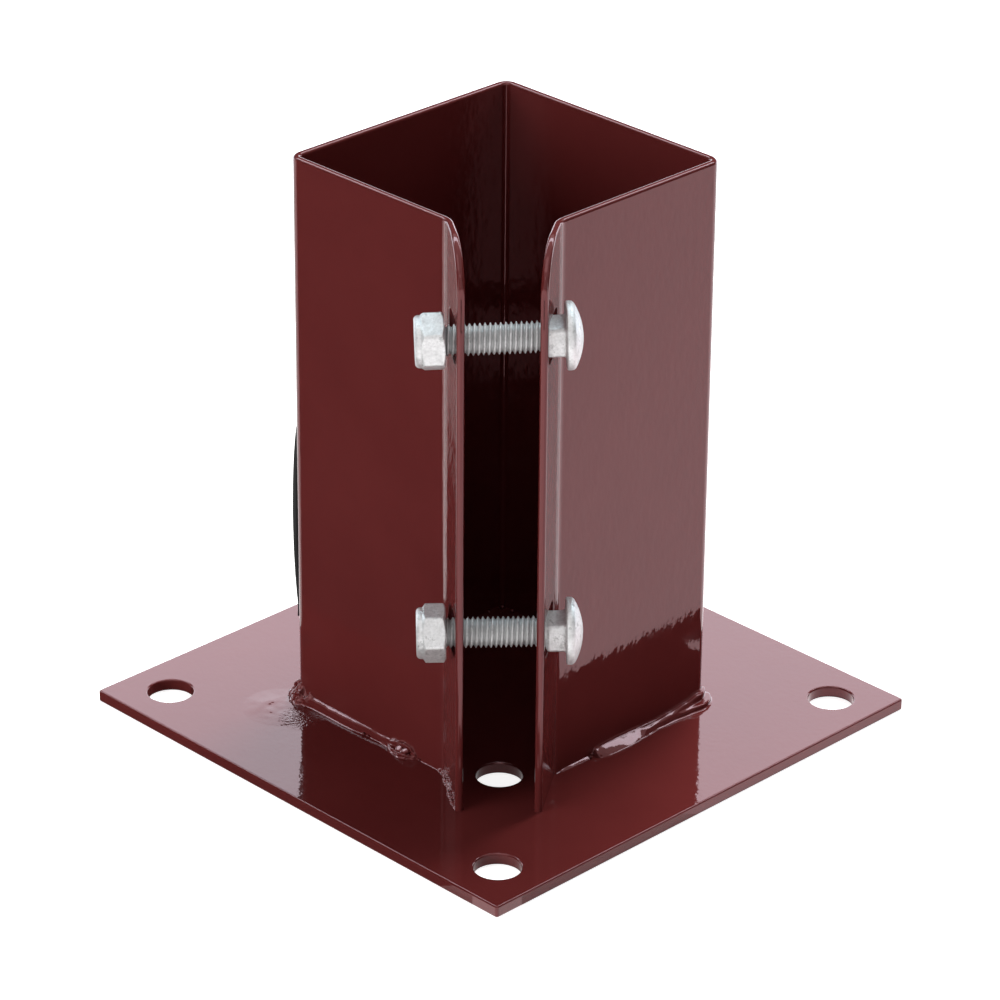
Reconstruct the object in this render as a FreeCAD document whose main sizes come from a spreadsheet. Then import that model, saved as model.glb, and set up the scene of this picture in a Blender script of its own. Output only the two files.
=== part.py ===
import FreeCAD, Part
import math
import os
import Sketcher

# Bolt-down base for a square timber post, in millimetres, with +Z up.
# The origin is the middle of the plate's underside. The plate's edges run along X and Y, and the
# socket's open corner, with its two ears and their bolts, points to +X and -Y.

SIZES = {
    # Base plate, painted
    "plate_side": 150.0,
    "plate_thick": 3.2,
    "plate_corner": 0.8,
    "anchor_hole": 12.0,
    "anchor_inset": 13.5,
    "drain_hole": 12.0,
    "drain_reach": 42.0,
    # Socket, folded from one strip: outside width, and folds by their inside radius
    "socket_side": 76.5,
    "socket_height": 153.0,
    "socket_shift": 1.5,
    "sheet_thick": 2.0,
    "fold_radius": 1.6,
    # Ears: folded out at the open corner, still toed in because the bolts are slack
    "ear_fold_radius": 4.4,
    "ear_gap": 17.7,
    "ear_reach": 59.2,
    "ear_toe_in": 9.4,
    "ear_corner": 12.5,
    "ear_hole": 10.5,
    "ear_hole_corner": 1.4,
    "ear_hole_inset": 7.5,
    "low_hole_height": 48.2,
    "high_hole_drop": 25.1,
    # Cup-head square-neck bolts
    "thread_width": 7.8,
    "bolt_length": 35.0,
    "bolt_tip_chamfer": 1.0,
    "neck_side": 7.9,
    "neck_length": 5.0,
    "neck_turn": 6.5,
    "head_width": 16.8,
    "head_rim": 1.8,
    "head_height": 4.2,
    # Lock nuts and their nylon rings
    "nut_flats": 13.0,
    "nut_hex_length": 5.6,
    "nut_collar_length": 1.7,
    "nut_collar_width": 12.8,
    "nut_collar_bevel": 0.6,
    "nut_bore": 8.0,
    "nut_bevel_width": 12.9,
    "nut_bevel_slope": 30.0,
    "ring_width": 10.2,
    "ring_length": 2.0,
    "ring_bore": 7.9,
    "ring_lip": 0.5,
    "ring_clearance": 0.05,
    # How far the slack bolts stand off the ears, and how they hang in the holes
    "upper_head_gap": 3.1,
    "lower_head_gap": 4.2,
    "upper_nut_gap": 1.8,
    "lower_nut_gap": 1.4,
    "upper_bolt_pitch": 1.9,
    "lower_bolt_pitch": 1.0,
    "upper_bolt_yaw": 3.0,
    "lower_bolt_yaw": 1.5,
    "upper_nut_turn": 2.0,
    "lower_nut_turn": -33.0,
    "rest_gap": 0.2,
    # Fillet welds round the socket's foot
    "weld_plate_leg": 3.2,
    "weld_wall_leg": 2.4,
    "weld_wrap": 80.0,
    "weld_left_length": 38.0,
    "weld_right_length": 35.0,
    "weld_back_length": 45.0,
    # Blank label on the wall beside the left corner
    "label_width": 40.0,
    "label_height": 57.0,
    "label_thick": 0.3,
    "label_rise": 22.0,
}

doc = FreeCAD.newDocument("timber_post_base")
sheet = doc.addObject("Spreadsheet::Sheet", "Sizes")
for row, (alias, number) in enumerate(SIZES.items(), start=1):
    sheet.set(f"A{row}", alias)
    sheet.set(f"B{row}", str(number))
    sheet.setAlias(f"B{row}", alias)
doc.recompute()

ROOT_HALF = math.sqrt(0.5)
START, END, CENTRE = range(1, 4)
V_AXIS, H_AXIS = range(-2, 0)


def size(alias):
    return float(sheet.get(alias))


def point(x, y):
    return FreeCAD.Vector(x, y, 0)


def line(start, end):
    return Part.LineSegment(start, end)


def arc(centre, radius, start_angle, end_angle):
    circle = Part.Circle(centre, FreeCAD.Vector(0, 0, 1), radius)
    return Part.ArcOfCircle(circle, math.radians(start_angle), math.radians(end_angle))


def polar(centre, radius, angle):
    turn = math.radians(angle)
    return centre + point(radius * math.cos(turn), radius * math.sin(turn))


def new_body(name):
    body = doc.addObject("PartDesign::Body", name)
    body.Label = name
    return body


def origin_plane(body, role):
    return next(item for item in body.Origin.OriginFeatures if item.Role == role)


def new_sketch(body, name, role):
    sketch = body.newObject("Sketcher::SketchObject", name)
    sketch.AttachmentSupport = (origin_plane(body, role), [""])
    sketch.MapMode = "FlatFace"
    return sketch


def fix(sketch, *what):
    return sketch.addConstraint(Sketcher.Constraint(*what))


def dimension(sketch, name, formula, *what):
    sketch.renameConstraint(fix(sketch, *what), name)
    sketch.setExpression("Constraints." + name, formula)


def pad(body, sketch, name, formula):
    feature = body.newObject("PartDesign::Pad", name)
    feature.Profile = sketch
    feature.setExpression("Length", formula)
    doc.recompute()
    return feature


def cut_through(body, sketch, name):
    before = body.Shape.Volume
    feature = body.newObject("PartDesign::Pocket", name)
    feature.Profile = sketch
    feature.Type = "ThroughAll"
    feature.SideType = "Symmetric"
    doc.recompute()
    if not body.Shape.Volume < before:
        raise RuntimeError(f"{name} removes nothing")
    return feature


def spin(body, sketch, name, kind="PartDesign::Revolution"):
    feature = body.newObject(kind, name)
    feature.Profile = sketch
    feature.ReferenceAxis = (sketch, ["V_Axis"])
    feature.Angle = 360
    doc.recompute()
    return feature


def circle_sketch(body, name, role, centre, formulas):
    """One circle; formulas name its radius and its centre's place along the sketch's two axes."""
    sketch = new_sketch(body, name, role)
    sketch.addGeometry(Part.Circle(centre, FreeCAD.Vector(0, 0, 1), 1.0))
    dimension(sketch, "radius", formulas[0], "Radius", 0, 1.0)
    dimension(sketch, "along", formulas[1], "DistanceX", H_AXIS, START, 0, CENTRE, centre.x)
    dimension(sketch, "across", formulas[2], "DistanceY", H_AXIS, START, 0, CENTRE, centre.y)
    return sketch


def closed_polyline(sketch, corners):
    """Join the corners with lines and return the lines' numbers in the sketch."""
    sides = [sketch.addGeometry(line(start, end)) for start, end in zip(corners, corners[1:] + corners[:1])]
    for side, following in zip(sides, sides[1:] + sides[:1]):
        fix(sketch, "Coincident", side, END, following, START)
    return sides


def square_sketch(body, name, role, formula):
    """A square on the origin."""
    sketch = new_sketch(body, name, role)
    closed_polyline(sketch, [point(-1, -1), point(1, -1), point(1, 1), point(-1, 1)])
    for index, way in enumerate(("Horizontal", "Vertical", "Horizontal", "Vertical")):
        fix(sketch, way, index)
    fix(sketch, "Equal", 0, 1)
    fix(sketch, "Symmetric", 0, START, 1, END, H_AXIS, START)
    dimension(sketch, "side", formula, "Distance", 0, 2.0)
    return sketch


def edges_along(shape, direction, test):
    """Names of the straight edges along a direction whose middle passes the test."""
    names = []
    for index, edge in enumerate(shape.Edges, start=1):
        if edge.Curve.TypeId != "Part::GeomLine" or edge.Curve.Direction.cross(direction).Length > 1e-6:
            continue
        if test(edge.CenterOfMass):
            names.append(f"Edge{index}")
    return names


def fillet(body, base, name, formula, names):
    feature = body.newObject("PartDesign::Fillet", name)
    feature.Base = (base, names)
    feature.setExpression("Radius", formula)
    doc.recompute()
    return feature


def make_base_plate():
    body = new_body("base_plate")
    outline = square_sketch(body, "plate_outline", "XY_Plane", "Sizes.plate_side")
    slab = pad(body, outline, "plate_slab", "Sizes.plate_thick")
    corners = edges_along(slab.Shape, FreeCAD.Vector(0, 0, 1), lambda middle: True)
    fillet(body, slab, "plate_corners", "Sizes.plate_corner", corners)

    reach = size("plate_side") / 2 - size("anchor_inset")
    place = "Sizes.plate_side / 2 - Sizes.anchor_inset"
    hole = circle_sketch(body, "anchor_circle", "XY_Plane", point(reach, reach),
                         ["Sizes.anchor_hole / 2", place, place])
    first_hole = cut_through(body, hole, "anchor_cut")
    holes = body.newObject("PartDesign::PolarPattern", "anchor_holes")
    holes.Originals = [first_hole]
    holes.Axis = (hole, ["N_Axis"])
    holes.Angle = 360
    holes.Occurrences = 4
    body.Tip = holes
    doc.recompute()

    reach = size("drain_reach") * ROOT_HALF
    drain = circle_sketch(body, "drain_circle", "XY_Plane", point(reach, -reach),
                          ["Sizes.drain_hole / 2", "Sizes.drain_reach / sqrt(2)",
                           "-Sizes.drain_reach / sqrt(2)"])
    cut_through(body, drain, "drain_cut")
    return body


def half_socket_outline(body):
    """Left half of the folded strip in plan, with the open corner towards -Y of the sketch."""
    sheet_thick = size("sheet_thick")
    inner = size("fold_radius")
    outer = inner + sheet_thick
    ear_outer = size("ear_fold_radius")
    toe_in = size("ear_toe_in")
    centre_reach = size("socket_side") * ROOT_HALF - outer / ROOT_HALF

    back = point(0, centre_reach)
    left = point(-centre_reach, 0)
    along_wall = point(ROOT_HALF, -ROOT_HALF)
    along_ear = polar(point(0, 0), 1, toe_in - 90)
    out_of_ear = polar(point(0, 0), 1, toe_in + 180)
    tip_inner = point(-size("ear_gap") / 2, -size("ear_reach"))
    tip_outer = tip_inner + out_of_ear * sheet_thick

    # Where the outer lines of wall and ear would cross, and how far the fold cuts that corner
    wall_start = polar(left, outer, 225)
    to_tip = tip_outer - wall_start
    cross_turn = along_wall.x * along_ear.y - along_wall.y * along_ear.x
    wall_run = (to_tip.x * along_ear.y - to_tip.y * along_ear.x) / cross_turn
    fold_run = ear_outer * math.tan(math.radians(45 - toe_in) / 2)
    wall_end = wall_start + along_wall * (wall_run - fold_run)
    ear_centre = polar(wall_end, ear_outer, 225)

    sketch = new_sketch(body, "half_strip", "XY_Plane")
    sketch.addGeometry([
        arc(back, outer, 90, 135),
        line(polar(back, outer, 135), polar(left, outer, 135)),
        arc(left, outer, 135, 225),
        line(wall_start, wall_end),
        arc(ear_centre, ear_outer, toe_in, 45),
        line(polar(ear_centre, ear_outer, toe_in), tip_outer),
        line(tip_outer, tip_inner),
        line(tip_inner, polar(ear_centre, ear_outer + sheet_thick, toe_in)),
        arc(ear_centre, ear_outer + sheet_thick, toe_in, 45),
        line(polar(ear_centre, ear_outer + sheet_thick, 45), polar(left, inner, 225)),
        arc(left, inner, 135, 225),
        line(polar(left, inner, 135), polar(back, inner, 135)),
        arc(back, inner, 90, 135),
        line(polar(back, inner, 90), polar(back, outer, 90)),
    ])
    (back_out, wall_back_out, left_out, wall_front_out, ear_fold_out, ear_out, tip, ear_in,
     ear_fold_in, wall_front_in, left_in, wall_back_in, back_in, seam) = range(14)

    for first, first_end, second, second_end in (
            (back_out, END, wall_back_out, START), (wall_back_out, END, left_out, START),
            (left_out, END, wall_front_out, START), (wall_front_out, END, ear_fold_out, END),
            (ear_fold_out, START, ear_out, START), (ear_in, END, ear_fold_in, START),
            (ear_fold_in, END, wall_front_in, START), (wall_front_in, END, left_in, END),
            (left_in, START, wall_back_in, START), (wall_back_in, END, back_in, END)):
        fix(sketch, "Tangent", first, first_end, second, second_end)
    for first, first_end, second, second_end in (
            (ear_out, END, tip, START), (tip, END, ear_in, START),
            (back_in, START, seam, START), (seam, END, back_out, START),
            (back_in, CENTRE, back_out, CENTRE), (left_in, CENTRE, left_out, CENTRE),
            (ear_fold_in, CENTRE, ear_fold_out, CENTRE)):
        fix(sketch, "Coincident", first, first_end, second, second_end)
    fix(sketch, "PointOnObject", back_out, CENTRE, V_AXIS)
    fix(sketch, "PointOnObject", seam, START, V_AXIS)
    fix(sketch, "PointOnObject", seam, END, V_AXIS)
    fix(sketch, "PointOnObject", left_out, CENTRE, H_AXIS)
    fix(sketch, "Perpendicular", wall_front_out, wall_back_out)
    fix(sketch, "Parallel", ear_in, ear_out)
    fix(sketch, "Perpendicular", tip, ear_in)

    outer_formula = "Sizes.fold_radius + Sizes.sheet_thick"
    reach_formula = f"Sizes.socket_side / sqrt(2) - ({outer_formula}) * sqrt(2)"
    dimension(sketch, "back_inner", "Sizes.fold_radius", "Radius", back_in, inner)
    dimension(sketch, "back_outer", outer_formula, "Radius", back_out, outer)
    dimension(sketch, "left_inner", "Sizes.fold_radius", "Radius", left_in, inner)
    dimension(sketch, "left_outer", outer_formula, "Radius", left_out, outer)
    dimension(sketch, "ear_outer", "Sizes.ear_fold_radius", "Radius", ear_fold_out, ear_outer)
    dimension(sketch, "ear_inner", "Sizes.ear_fold_radius + Sizes.sheet_thick", "Radius", ear_fold_in,
              ear_outer + sheet_thick)
    dimension(sketch, "back_reach", reach_formula, "DistanceY", H_AXIS, START, back_out, CENTRE,
              centre_reach)
    dimension(sketch, "left_reach", reach_formula, "DistanceX", left_out, CENTRE, H_AXIS, START,
              centre_reach)
    dimension(sketch, "half_gap", "Sizes.ear_gap / 2", "DistanceX", tip, END, H_AXIS, START,
              -tip_inner.x)
    dimension(sketch, "tip_reach", "Sizes.ear_reach", "DistanceY", tip, END, H_AXIS, START,
              -tip_inner.y)
    dimension(sketch, "toe_in", "(90 - Sizes.ear_toe_in) * 1 deg", "Angle", ear_out, START, H_AXIS, START,
              math.radians(90 - toe_in))
    doc.recompute()
    return sketch


def ear_hole_outline(body):
    """The lower bolt hole, a square with rounded corners, seen along the bolt."""
    half = size("ear_hole") / 2
    radius = size("ear_hole_corner")
    flat = half - radius
    middle = point(-hole_reach(), size("low_hole_height"))
    sketch = new_sketch(body, "ear_hole", "YZ_Plane")
    for side, angle in enumerate((0, 90, 180, 270)):
        facing = polar(point(0, 0), 1, angle)
        beside = polar(point(0, 0), 1, angle + 90)
        start = middle + facing * half - beside * flat
        end = middle + facing * half + beside * flat
        sketch.addGeometry(line(start, end))
        sketch.addGeometry(arc(end - facing * radius, radius, angle, angle + 90))
    for side in range(4):
        fix(sketch, "Tangent", 2 * side, END, 2 * side + 1, START)
        fix(sketch, "Tangent", 2 * side + 1, END, (2 * side + 2) % 8, START)
        if side:
            fix(sketch, "Equal", 1, 2 * side + 1)
    fix(sketch, "Vertical", 0)
    fix(sketch, "Horizontal", 2)
    fix(sketch, "Vertical", 4)
    fix(sketch, "Horizontal", 6)
    fix(sketch, "Equal", 0, 2)
    dimension(sketch, "corner", "Sizes.ear_hole_corner", "Radius", 1, radius)
    dimension(sketch, "flat", "Sizes.ear_hole - 2 * Sizes.ear_hole_corner", "Distance", 0, 2 * flat)
    dimension(sketch, "inset", "Sizes.ear_reach - Sizes.ear_hole_inset + Sizes.ear_hole / 2",
              "DistanceX", 4, START, H_AXIS, START, hole_reach() + half)
    dimension(sketch, "rise", "Sizes.low_hole_height + Sizes.ear_hole / 2",
              "DistanceY", H_AXIS, START, 2, START, middle.y + half)
    doc.recompute()
    return sketch


def hole_reach():
    """Distance of the bolts from the socket's axis, towards the open corner."""
    return size("ear_reach") - size("ear_hole_inset")


def make_post_socket():
    body = new_body("post_socket")
    half_strip = pad(body, half_socket_outline(body), "half_wall", "Sizes.socket_height")
    top = size("socket_height")
    tip_edge = [
        name for name in edges_across_sheet(half_strip.Shape)
        if half_strip.Shape.getElement(name).CenterOfMass.z > top - 1e-6
        and half_strip.Shape.getElement(name).CenterOfMass.y < -hole_reach()
    ]
    fillet(body, half_strip, "ear_corner", "Sizes.ear_corner", tip_edge)
    first_hole = cut_through(body, ear_hole_outline(body), "ear_hole_cut")
    holes = body.newObject("PartDesign::LinearPattern", "ear_holes")
    holes.Originals = [first_hole]
    holes.Direction = (origin_plane(body, "XY_Plane"), [""])
    holes.setExpression("Length", "Sizes.socket_height - Sizes.high_hole_drop - Sizes.low_hole_height")
    holes.Occurrences = 2
    body.Tip = holes
    doc.recompute()
    whole = body.newObject("PartDesign::Mirrored", "both_halves")
    whole.TransformMode = "Whole shape"
    whole.MirrorPlane = (origin_plane(body, "YZ_Plane"), [""])
    body.Tip = whole
    doc.recompute()
    body.Placement = socket_place(FreeCAD.Vector(0, 0, 0), FreeCAD.Rotation())
    return body


def edges_across_sheet(shape):
    """Names of the short straight edges that run through the sheet's thickness."""
    return [
        f"Edge{index}" for index, edge in enumerate(shape.Edges, start=1)
        if edge.Curve.TypeId == "Part::GeomLine" and abs(edge.Length - size("sheet_thick")) < 1e-6
        and abs(edge.Curve.Direction.z) < 1e-6
    ]


def socket_place(offset, rotation):
    """Placement of a piece given in the socket's own frame: its axis upright, -Y to the open corner."""
    shift = size("socket_shift") * ROOT_HALF
    frame = FreeCAD.Placement(FreeCAD.Vector(shift, -shift, size("plate_thick")),
                              FreeCAD.Rotation(FreeCAD.Vector(0, 0, 1), 45))
    return frame.multiply(FreeCAD.Placement(offset, rotation))


def make_bolt(name):
    """Cup-head bolt with its axis on Z and the underside of its head at the origin."""
    body = new_body(name)
    thread = size("thread_width") / 2
    length = size("bolt_length")
    chamfer = size("bolt_tip_chamfer")
    head = size("head_width") / 2
    rim = size("head_rim")
    height = size("head_height")
    dome = height - rim
    dome_radius = (head ** 2 + dome ** 2) / (2 * dome)
    dome_middle = point(0, height - dome_radius)
    rim_angle = math.degrees(math.atan2(rim - dome_middle.y, head))

    sketch = new_sketch(body, name + "_profile", "XZ_Plane")
    corners = [point(0, height), point(0, -length), point(thread - chamfer, -length),
               point(thread, chamfer - length), point(thread, 0), point(head, 0), point(head, rim)]
    for start, end in zip(corners, corners[1:]):
        sketch.addGeometry(line(start, end))
    sketch.addGeometry(arc(dome_middle, dome_radius, rim_angle, 90))
    axis, end_face, tip, shank, underside, edge, cap = range(7)
    for index in range(5):
        fix(sketch, "Coincident", index, END, index + 1, START)
    fix(sketch, "Coincident", edge, END, cap, START)
    fix(sketch, "Coincident", cap, END, axis, START)
    fix(sketch, "PointOnObject", axis, START, V_AXIS)
    fix(sketch, "PointOnObject", axis, END, V_AXIS)
    fix(sketch, "PointOnObject", cap, CENTRE, V_AXIS)
    fix(sketch, "Horizontal", end_face)
    fix(sketch, "Vertical", shank)
    fix(sketch, "PointOnObject", underside, START, H_AXIS)
    fix(sketch, "PointOnObject", underside, END, H_AXIS)
    fix(sketch, "Vertical", edge)
    dimension(sketch, "length", "Sizes.bolt_length", "DistanceY", axis, END, H_AXIS, START, length)
    dimension(sketch, "end_face", "Sizes.thread_width / 2 - Sizes.bolt_tip_chamfer", "DistanceX",
              H_AXIS, START, end_face, END, thread - chamfer)
    dimension(sketch, "chamfer", "Sizes.bolt_tip_chamfer", "DistanceY", tip, START, tip, END, chamfer)
    dimension(sketch, "thread", "Sizes.thread_width / 2", "DistanceX", H_AXIS, START, shank, END, thread)
    dimension(sketch, "head", "Sizes.head_width / 2", "DistanceX", H_AXIS, START, underside, END, head)
    dimension(sketch, "rim", "Sizes.head_rim", "Distance", edge, rim)
    dimension(sketch, "height", "Sizes.head_height", "DistanceY", H_AXIS, START, axis, START, height)
    spin(body, sketch, name + "_turned")

    neck = square_sketch(body, name + "_neck_square", "XY_Plane", "Sizes.neck_side")
    pad(body, neck, name + "_neck", "Sizes.neck_length").Reversed = True
    doc.recompute()
    return body


def make_nut(name):
    """Lock nut with its axis on Z, its bearing face at the origin and its collar above."""
    body = new_body(name)
    corner = size("nut_flats") / math.sqrt(3)
    hexagon = new_sketch(body, name + "_hexagon", "XY_Plane")
    closed_polyline(hexagon, [polar(point(0, 0), corner, 60 * index) for index in range(6)])
    hexagon.addGeometry(Part.Circle(point(0, 0), FreeCAD.Vector(0, 0, 1), corner), True)
    for index in range(6):
        fix(hexagon, "PointOnObject", index, START, 6)
        if index:
            fix(hexagon, "Equal", 0, index)
    fix(hexagon, "Coincident", 6, CENTRE, H_AXIS, START)
    fix(hexagon, "PointOnObject", 0, START, H_AXIS)
    dimension(hexagon, "corner", "Sizes.nut_flats / sqrt(3)", "Radius", 6, corner)
    pad(body, hexagon, name + "_hex", "Sizes.nut_hex_length")

    # Bevels round the corners of both hexagon faces
    bevel = size("nut_bevel_width") / 2
    slope = math.tan(math.radians(size("nut_bevel_slope")))
    height = size("nut_hex_length")
    beyond = corner + 1
    drop = (beyond - bevel) * slope
    bevels = new_sketch(body, name + "_bevels", "XZ_Plane")
    low = closed_polyline(bevels, [point(bevel, 0), point(beyond, 0), point(beyond, drop)])
    high = closed_polyline(bevels, [point(bevel, height), point(beyond, height),
                                    point(beyond, height - drop)])
    for label, (face, outside, _), face_height in (("low", low, "0"), ("high", high, "Sizes.nut_hex_length")):
        fix(bevels, "Horizontal", face)
        fix(bevels, "Vertical", outside)
        dimension(bevels, label + "_bevel", "Sizes.nut_bevel_width / 2", "DistanceX",
                  H_AXIS, START, face, START, bevel)
        dimension(bevels, label + "_beyond", "Sizes.nut_flats / sqrt(3) + 1", "DistanceX",
                  H_AXIS, START, face, END, beyond)
        dimension(bevels, label + "_drop",
                  "(Sizes.nut_flats / sqrt(3) + 1 - Sizes.nut_bevel_width / 2)"
                  " * tan(Sizes.nut_bevel_slope * 1 deg)", "Distance", outside, drop)
        dimension(bevels, label + "_height", face_height, "DistanceY", H_AXIS, START, face, START,
                  height if label == "high" else 0.0)
    before = body.Shape.Volume
    spin(body, bevels, name + "_bevelled", "PartDesign::Groove")
    if not body.Shape.Volume < before:
        raise RuntimeError(f"{name} has no bevels")

    # Collar from the bearing face up, so that it is one with the hexagon
    collar = circle_sketch(body, name + "_collar_circle", "XY_Plane", point(0, 0),
                           ["Sizes.nut_collar_width / 2", "0", "0"])
    collar_pad = pad(body, collar, name + "_collar", "Sizes.nut_hex_length + Sizes.nut_collar_length")
    top = size("nut_hex_length") + size("nut_collar_length")
    top_edge = [f"Edge{index}" for index, edge in enumerate(collar_pad.Shape.Edges, start=1)
                if edge.Curve.TypeId == "Part::GeomCircle" and abs(edge.CenterOfMass.z - top) < 1e-6]
    crimp = body.newObject("PartDesign::Chamfer", name + "_crimp")
    crimp.Base = (collar_pad, top_edge)
    crimp.setExpression("Size", "Sizes.nut_collar_bevel")
    doc.recompute()

    # Bore, with the groove that holds the ring under the collar's lip
    bore = size("nut_bore") / 2
    ring = size("ring_width") / 2 + size("ring_clearance")
    groove_top = top - size("ring_lip")
    groove_bottom = groove_top - size("ring_length")
    inside = new_sketch(body, name + "_inside", "XZ_Plane")
    closed_polyline(inside, [point(0, 0), point(bore, 0), point(bore, groove_bottom),
                             point(ring, groove_bottom), point(ring, groove_top),
                             point(bore, groove_top), point(bore, top), point(0, top)])
    for index in range(8):
        fix(inside, "Vertical" if index % 2 else "Horizontal", index)
    fix(inside, "Coincident", 0, START, H_AXIS, START)
    dimension(inside, "bore", "Sizes.nut_bore / 2", "Distance", 0, bore)
    fix(inside, "Vertical", 1, START, 5, START)
    dimension(inside, "ring", "Sizes.ring_width / 2 + Sizes.ring_clearance", "DistanceX",
              H_AXIS, START, 3, START, ring)
    dimension(inside, "ring_length", "Sizes.ring_length", "Distance", 3, size("ring_length"))
    dimension(inside, "lip", "Sizes.ring_lip", "Distance", 5, size("ring_lip"))
    dimension(inside, "top", "Sizes.nut_hex_length + Sizes.nut_collar_length", "Distance", 7, top)
    before = body.Shape.Volume
    spin(body, inside, name + "_bored", "PartDesign::Groove")
    if not body.Shape.Volume < before:
        raise RuntimeError(f"{name} has no bore")
    return body


def make_lock_ring(name):
    """Nylon ring that fills the groove under a nut's collar, on the nut's axis."""
    body = new_body(name)
    low = "(Sizes.nut_hex_length + Sizes.nut_collar_length - Sizes.ring_lip - Sizes.ring_length)"
    outside = circle_sketch(body, name + "_outside", "XY_Plane", point(0, 0),
                            ["Sizes.ring_width / 2", "0", "0"])
    outside.setExpression("AttachmentOffset.Base.z", low)
    pad(body, outside, name + "_disc", "Sizes.ring_length")
    bore = circle_sketch(body, name + "_bore", "XY_Plane", point(0, 0), ["Sizes.ring_bore / 2", "0", "0"])
    cut_through(body, bore, name + "_bore_cut")
    return body


def place_fasteners(bolt, nut, ring, level):
    """Hang a slack bolt in its two holes, and run its nut and ring on."""
    pitch = size(level + "_bolt_pitch")
    yaw = size(level + "_bolt_yaw")
    toe_in = math.radians(size("ear_toe_in"))
    ear_outside = (size("ear_gap") / 2 + size("sheet_thick") / math.cos(toe_in)
                   + size("ear_hole_inset") * math.tan(toe_in))
    if level == "upper":
        rise = size("socket_height") - size("high_hole_drop")
    else:
        rise = size("low_hole_height")
    # The thread lies on the bottom of the nut's ear hole
    at_nut = rise - size("ear_hole") / 2 + size("rest_gap") + size("thread_width") / 2
    middle = FreeCAD.Vector(0, -hole_reach(), at_nut + ear_outside * math.tan(math.radians(pitch)))
    swing = FreeCAD.Rotation(FreeCAD.Vector(0, 0, 1), yaw).multiply(
        FreeCAD.Rotation(FreeCAD.Vector(0, 1, 0), -pitch))
    bolt_axis = swing.multVec(FreeCAD.Vector(1, 0, 0))
    head_out = swing.multiply(FreeCAD.Rotation(FreeCAD.Vector(0, 1, 0), 90))
    nut_out = swing.multiply(FreeCAD.Rotation(FreeCAD.Vector(0, 1, 0), -90))

    head_seat = middle + bolt_axis * (ear_outside + size(level + "_head_gap"))
    turned = head_out.multiply(FreeCAD.Rotation(FreeCAD.Vector(0, 0, 1), size("neck_turn")))
    bolt.Placement = socket_place(head_seat, turned)
    nut_seat = middle - bolt_axis * (ear_outside + size(level + "_nut_gap"))
    turned = nut_out.multiply(FreeCAD.Rotation(FreeCAD.Vector(0, 0, 1), size(level + "_nut_turn")))
    nut.Placement = socket_place(nut_seat, turned)
    ring.Placement = nut.Placement


def weld_section():
    """Section of a fillet weld: X out along the plate, Y up the wall."""
    out = size("weld_plate_leg")
    up = size("weld_wall_leg")
    section = doc.addObject("Sketcher::SketchObject", "weld_section")
    plate_leg, _, wall_leg = closed_polyline(section, [point(0, 0), point(out, 0), point(0, up)])
    fix(section, "Coincident", plate_leg, START, H_AXIS, START)
    fix(section, "Horizontal", plate_leg)
    fix(section, "Vertical", wall_leg)
    dimension(section, "out", "Sizes.weld_plate_leg", "Distance", plate_leg, out)
    dimension(section, "up", "Sizes.weld_wall_leg", "Distance", wall_leg, up)
    # Stand the section up: its X becomes Y, its Y becomes Z
    section.Placement = FreeCAD.Placement(FreeCAD.Vector(), FreeCAD.Rotation(FreeCAD.Vector(1, 1, 1), 120))
    doc.recompute()
    return section


def turned_section(section, name, angle, base):
    piece = doc.addObject("Part::Revolution", name)
    piece.Source = section
    piece.Axis = FreeCAD.Vector(0, 0, 1)
    piece.Base = base
    piece.Angle = angle
    piece.Solid = True
    return piece


def make_weld(section, name, way, wraps):
    """A bead along X from the origin, against a wall that faces +Y; way is its direction along X.
    Its ends are round, or wrap round the fold where it starts."""
    length = "Sizes." + {"weld_front_left": "weld_left_length", "weld_front_right": "weld_right_length",
                         "weld_back_left": "weld_back_length", "weld_back_right": "weld_back_length"}[name]
    run = doc.addObject("Part::Extrusion", name + "_run")
    run.Base = section
    run.DirMode = "Custom"
    run.Dir = FreeCAD.Vector(way, 0, 0)
    run.setExpression("LengthFwd", length)
    run.Solid = True
    far_end = turned_section(section, name + "_far_end", -90 * way, FreeCAD.Vector())
    far_end.setExpression("Placement.Base.x", f"{way} * {length}")
    near_end = turned_section(section, name + "_near_end", 90 * way, FreeCAD.Vector())
    pieces = [run, far_end, near_end]
    if wraps:
        fold = size("fold_radius") + size("sheet_thick")
        wrap = turned_section(section, name + "_wrap", way * size("weld_wrap"),
                              FreeCAD.Vector(0, -fold, 0))
        fold_end = polar(point(0, -fold), fold, 90 + way * size("weld_wrap"))
        near_end.Placement = FreeCAD.Placement(
            fold_end, FreeCAD.Rotation(FreeCAD.Vector(0, 0, 1), way * size("weld_wrap")))
        pieces.append(wrap)
    bead = doc.addObject("Part::MultiFuse", name)
    bead.Label = name
    bead.Shapes = pieces
    bead.Refine = True
    doc.recompute()
    return bead


def place_welds(front_left, front_right, back_left, back_right):
    half = size("socket_side") / 2
    tangent = half - size("fold_radius") - size("sheet_thick")
    half_run = size("weld_back_length") / 2
    shift = size("socket_shift") * ROOT_HALF
    for bead, x, y, turn in ((front_left, -tangent, -half, 180), (front_right, half, tangent, -90),
                             (back_left, -half, -half_run, 90), (back_right, -half_run, half, 0)):
        bead.Placement = FreeCAD.Placement(
            FreeCAD.Vector(x + shift, y - shift, size("plate_thick")),
            FreeCAD.Rotation(FreeCAD.Vector(0, 0, 1), turn))


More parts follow.
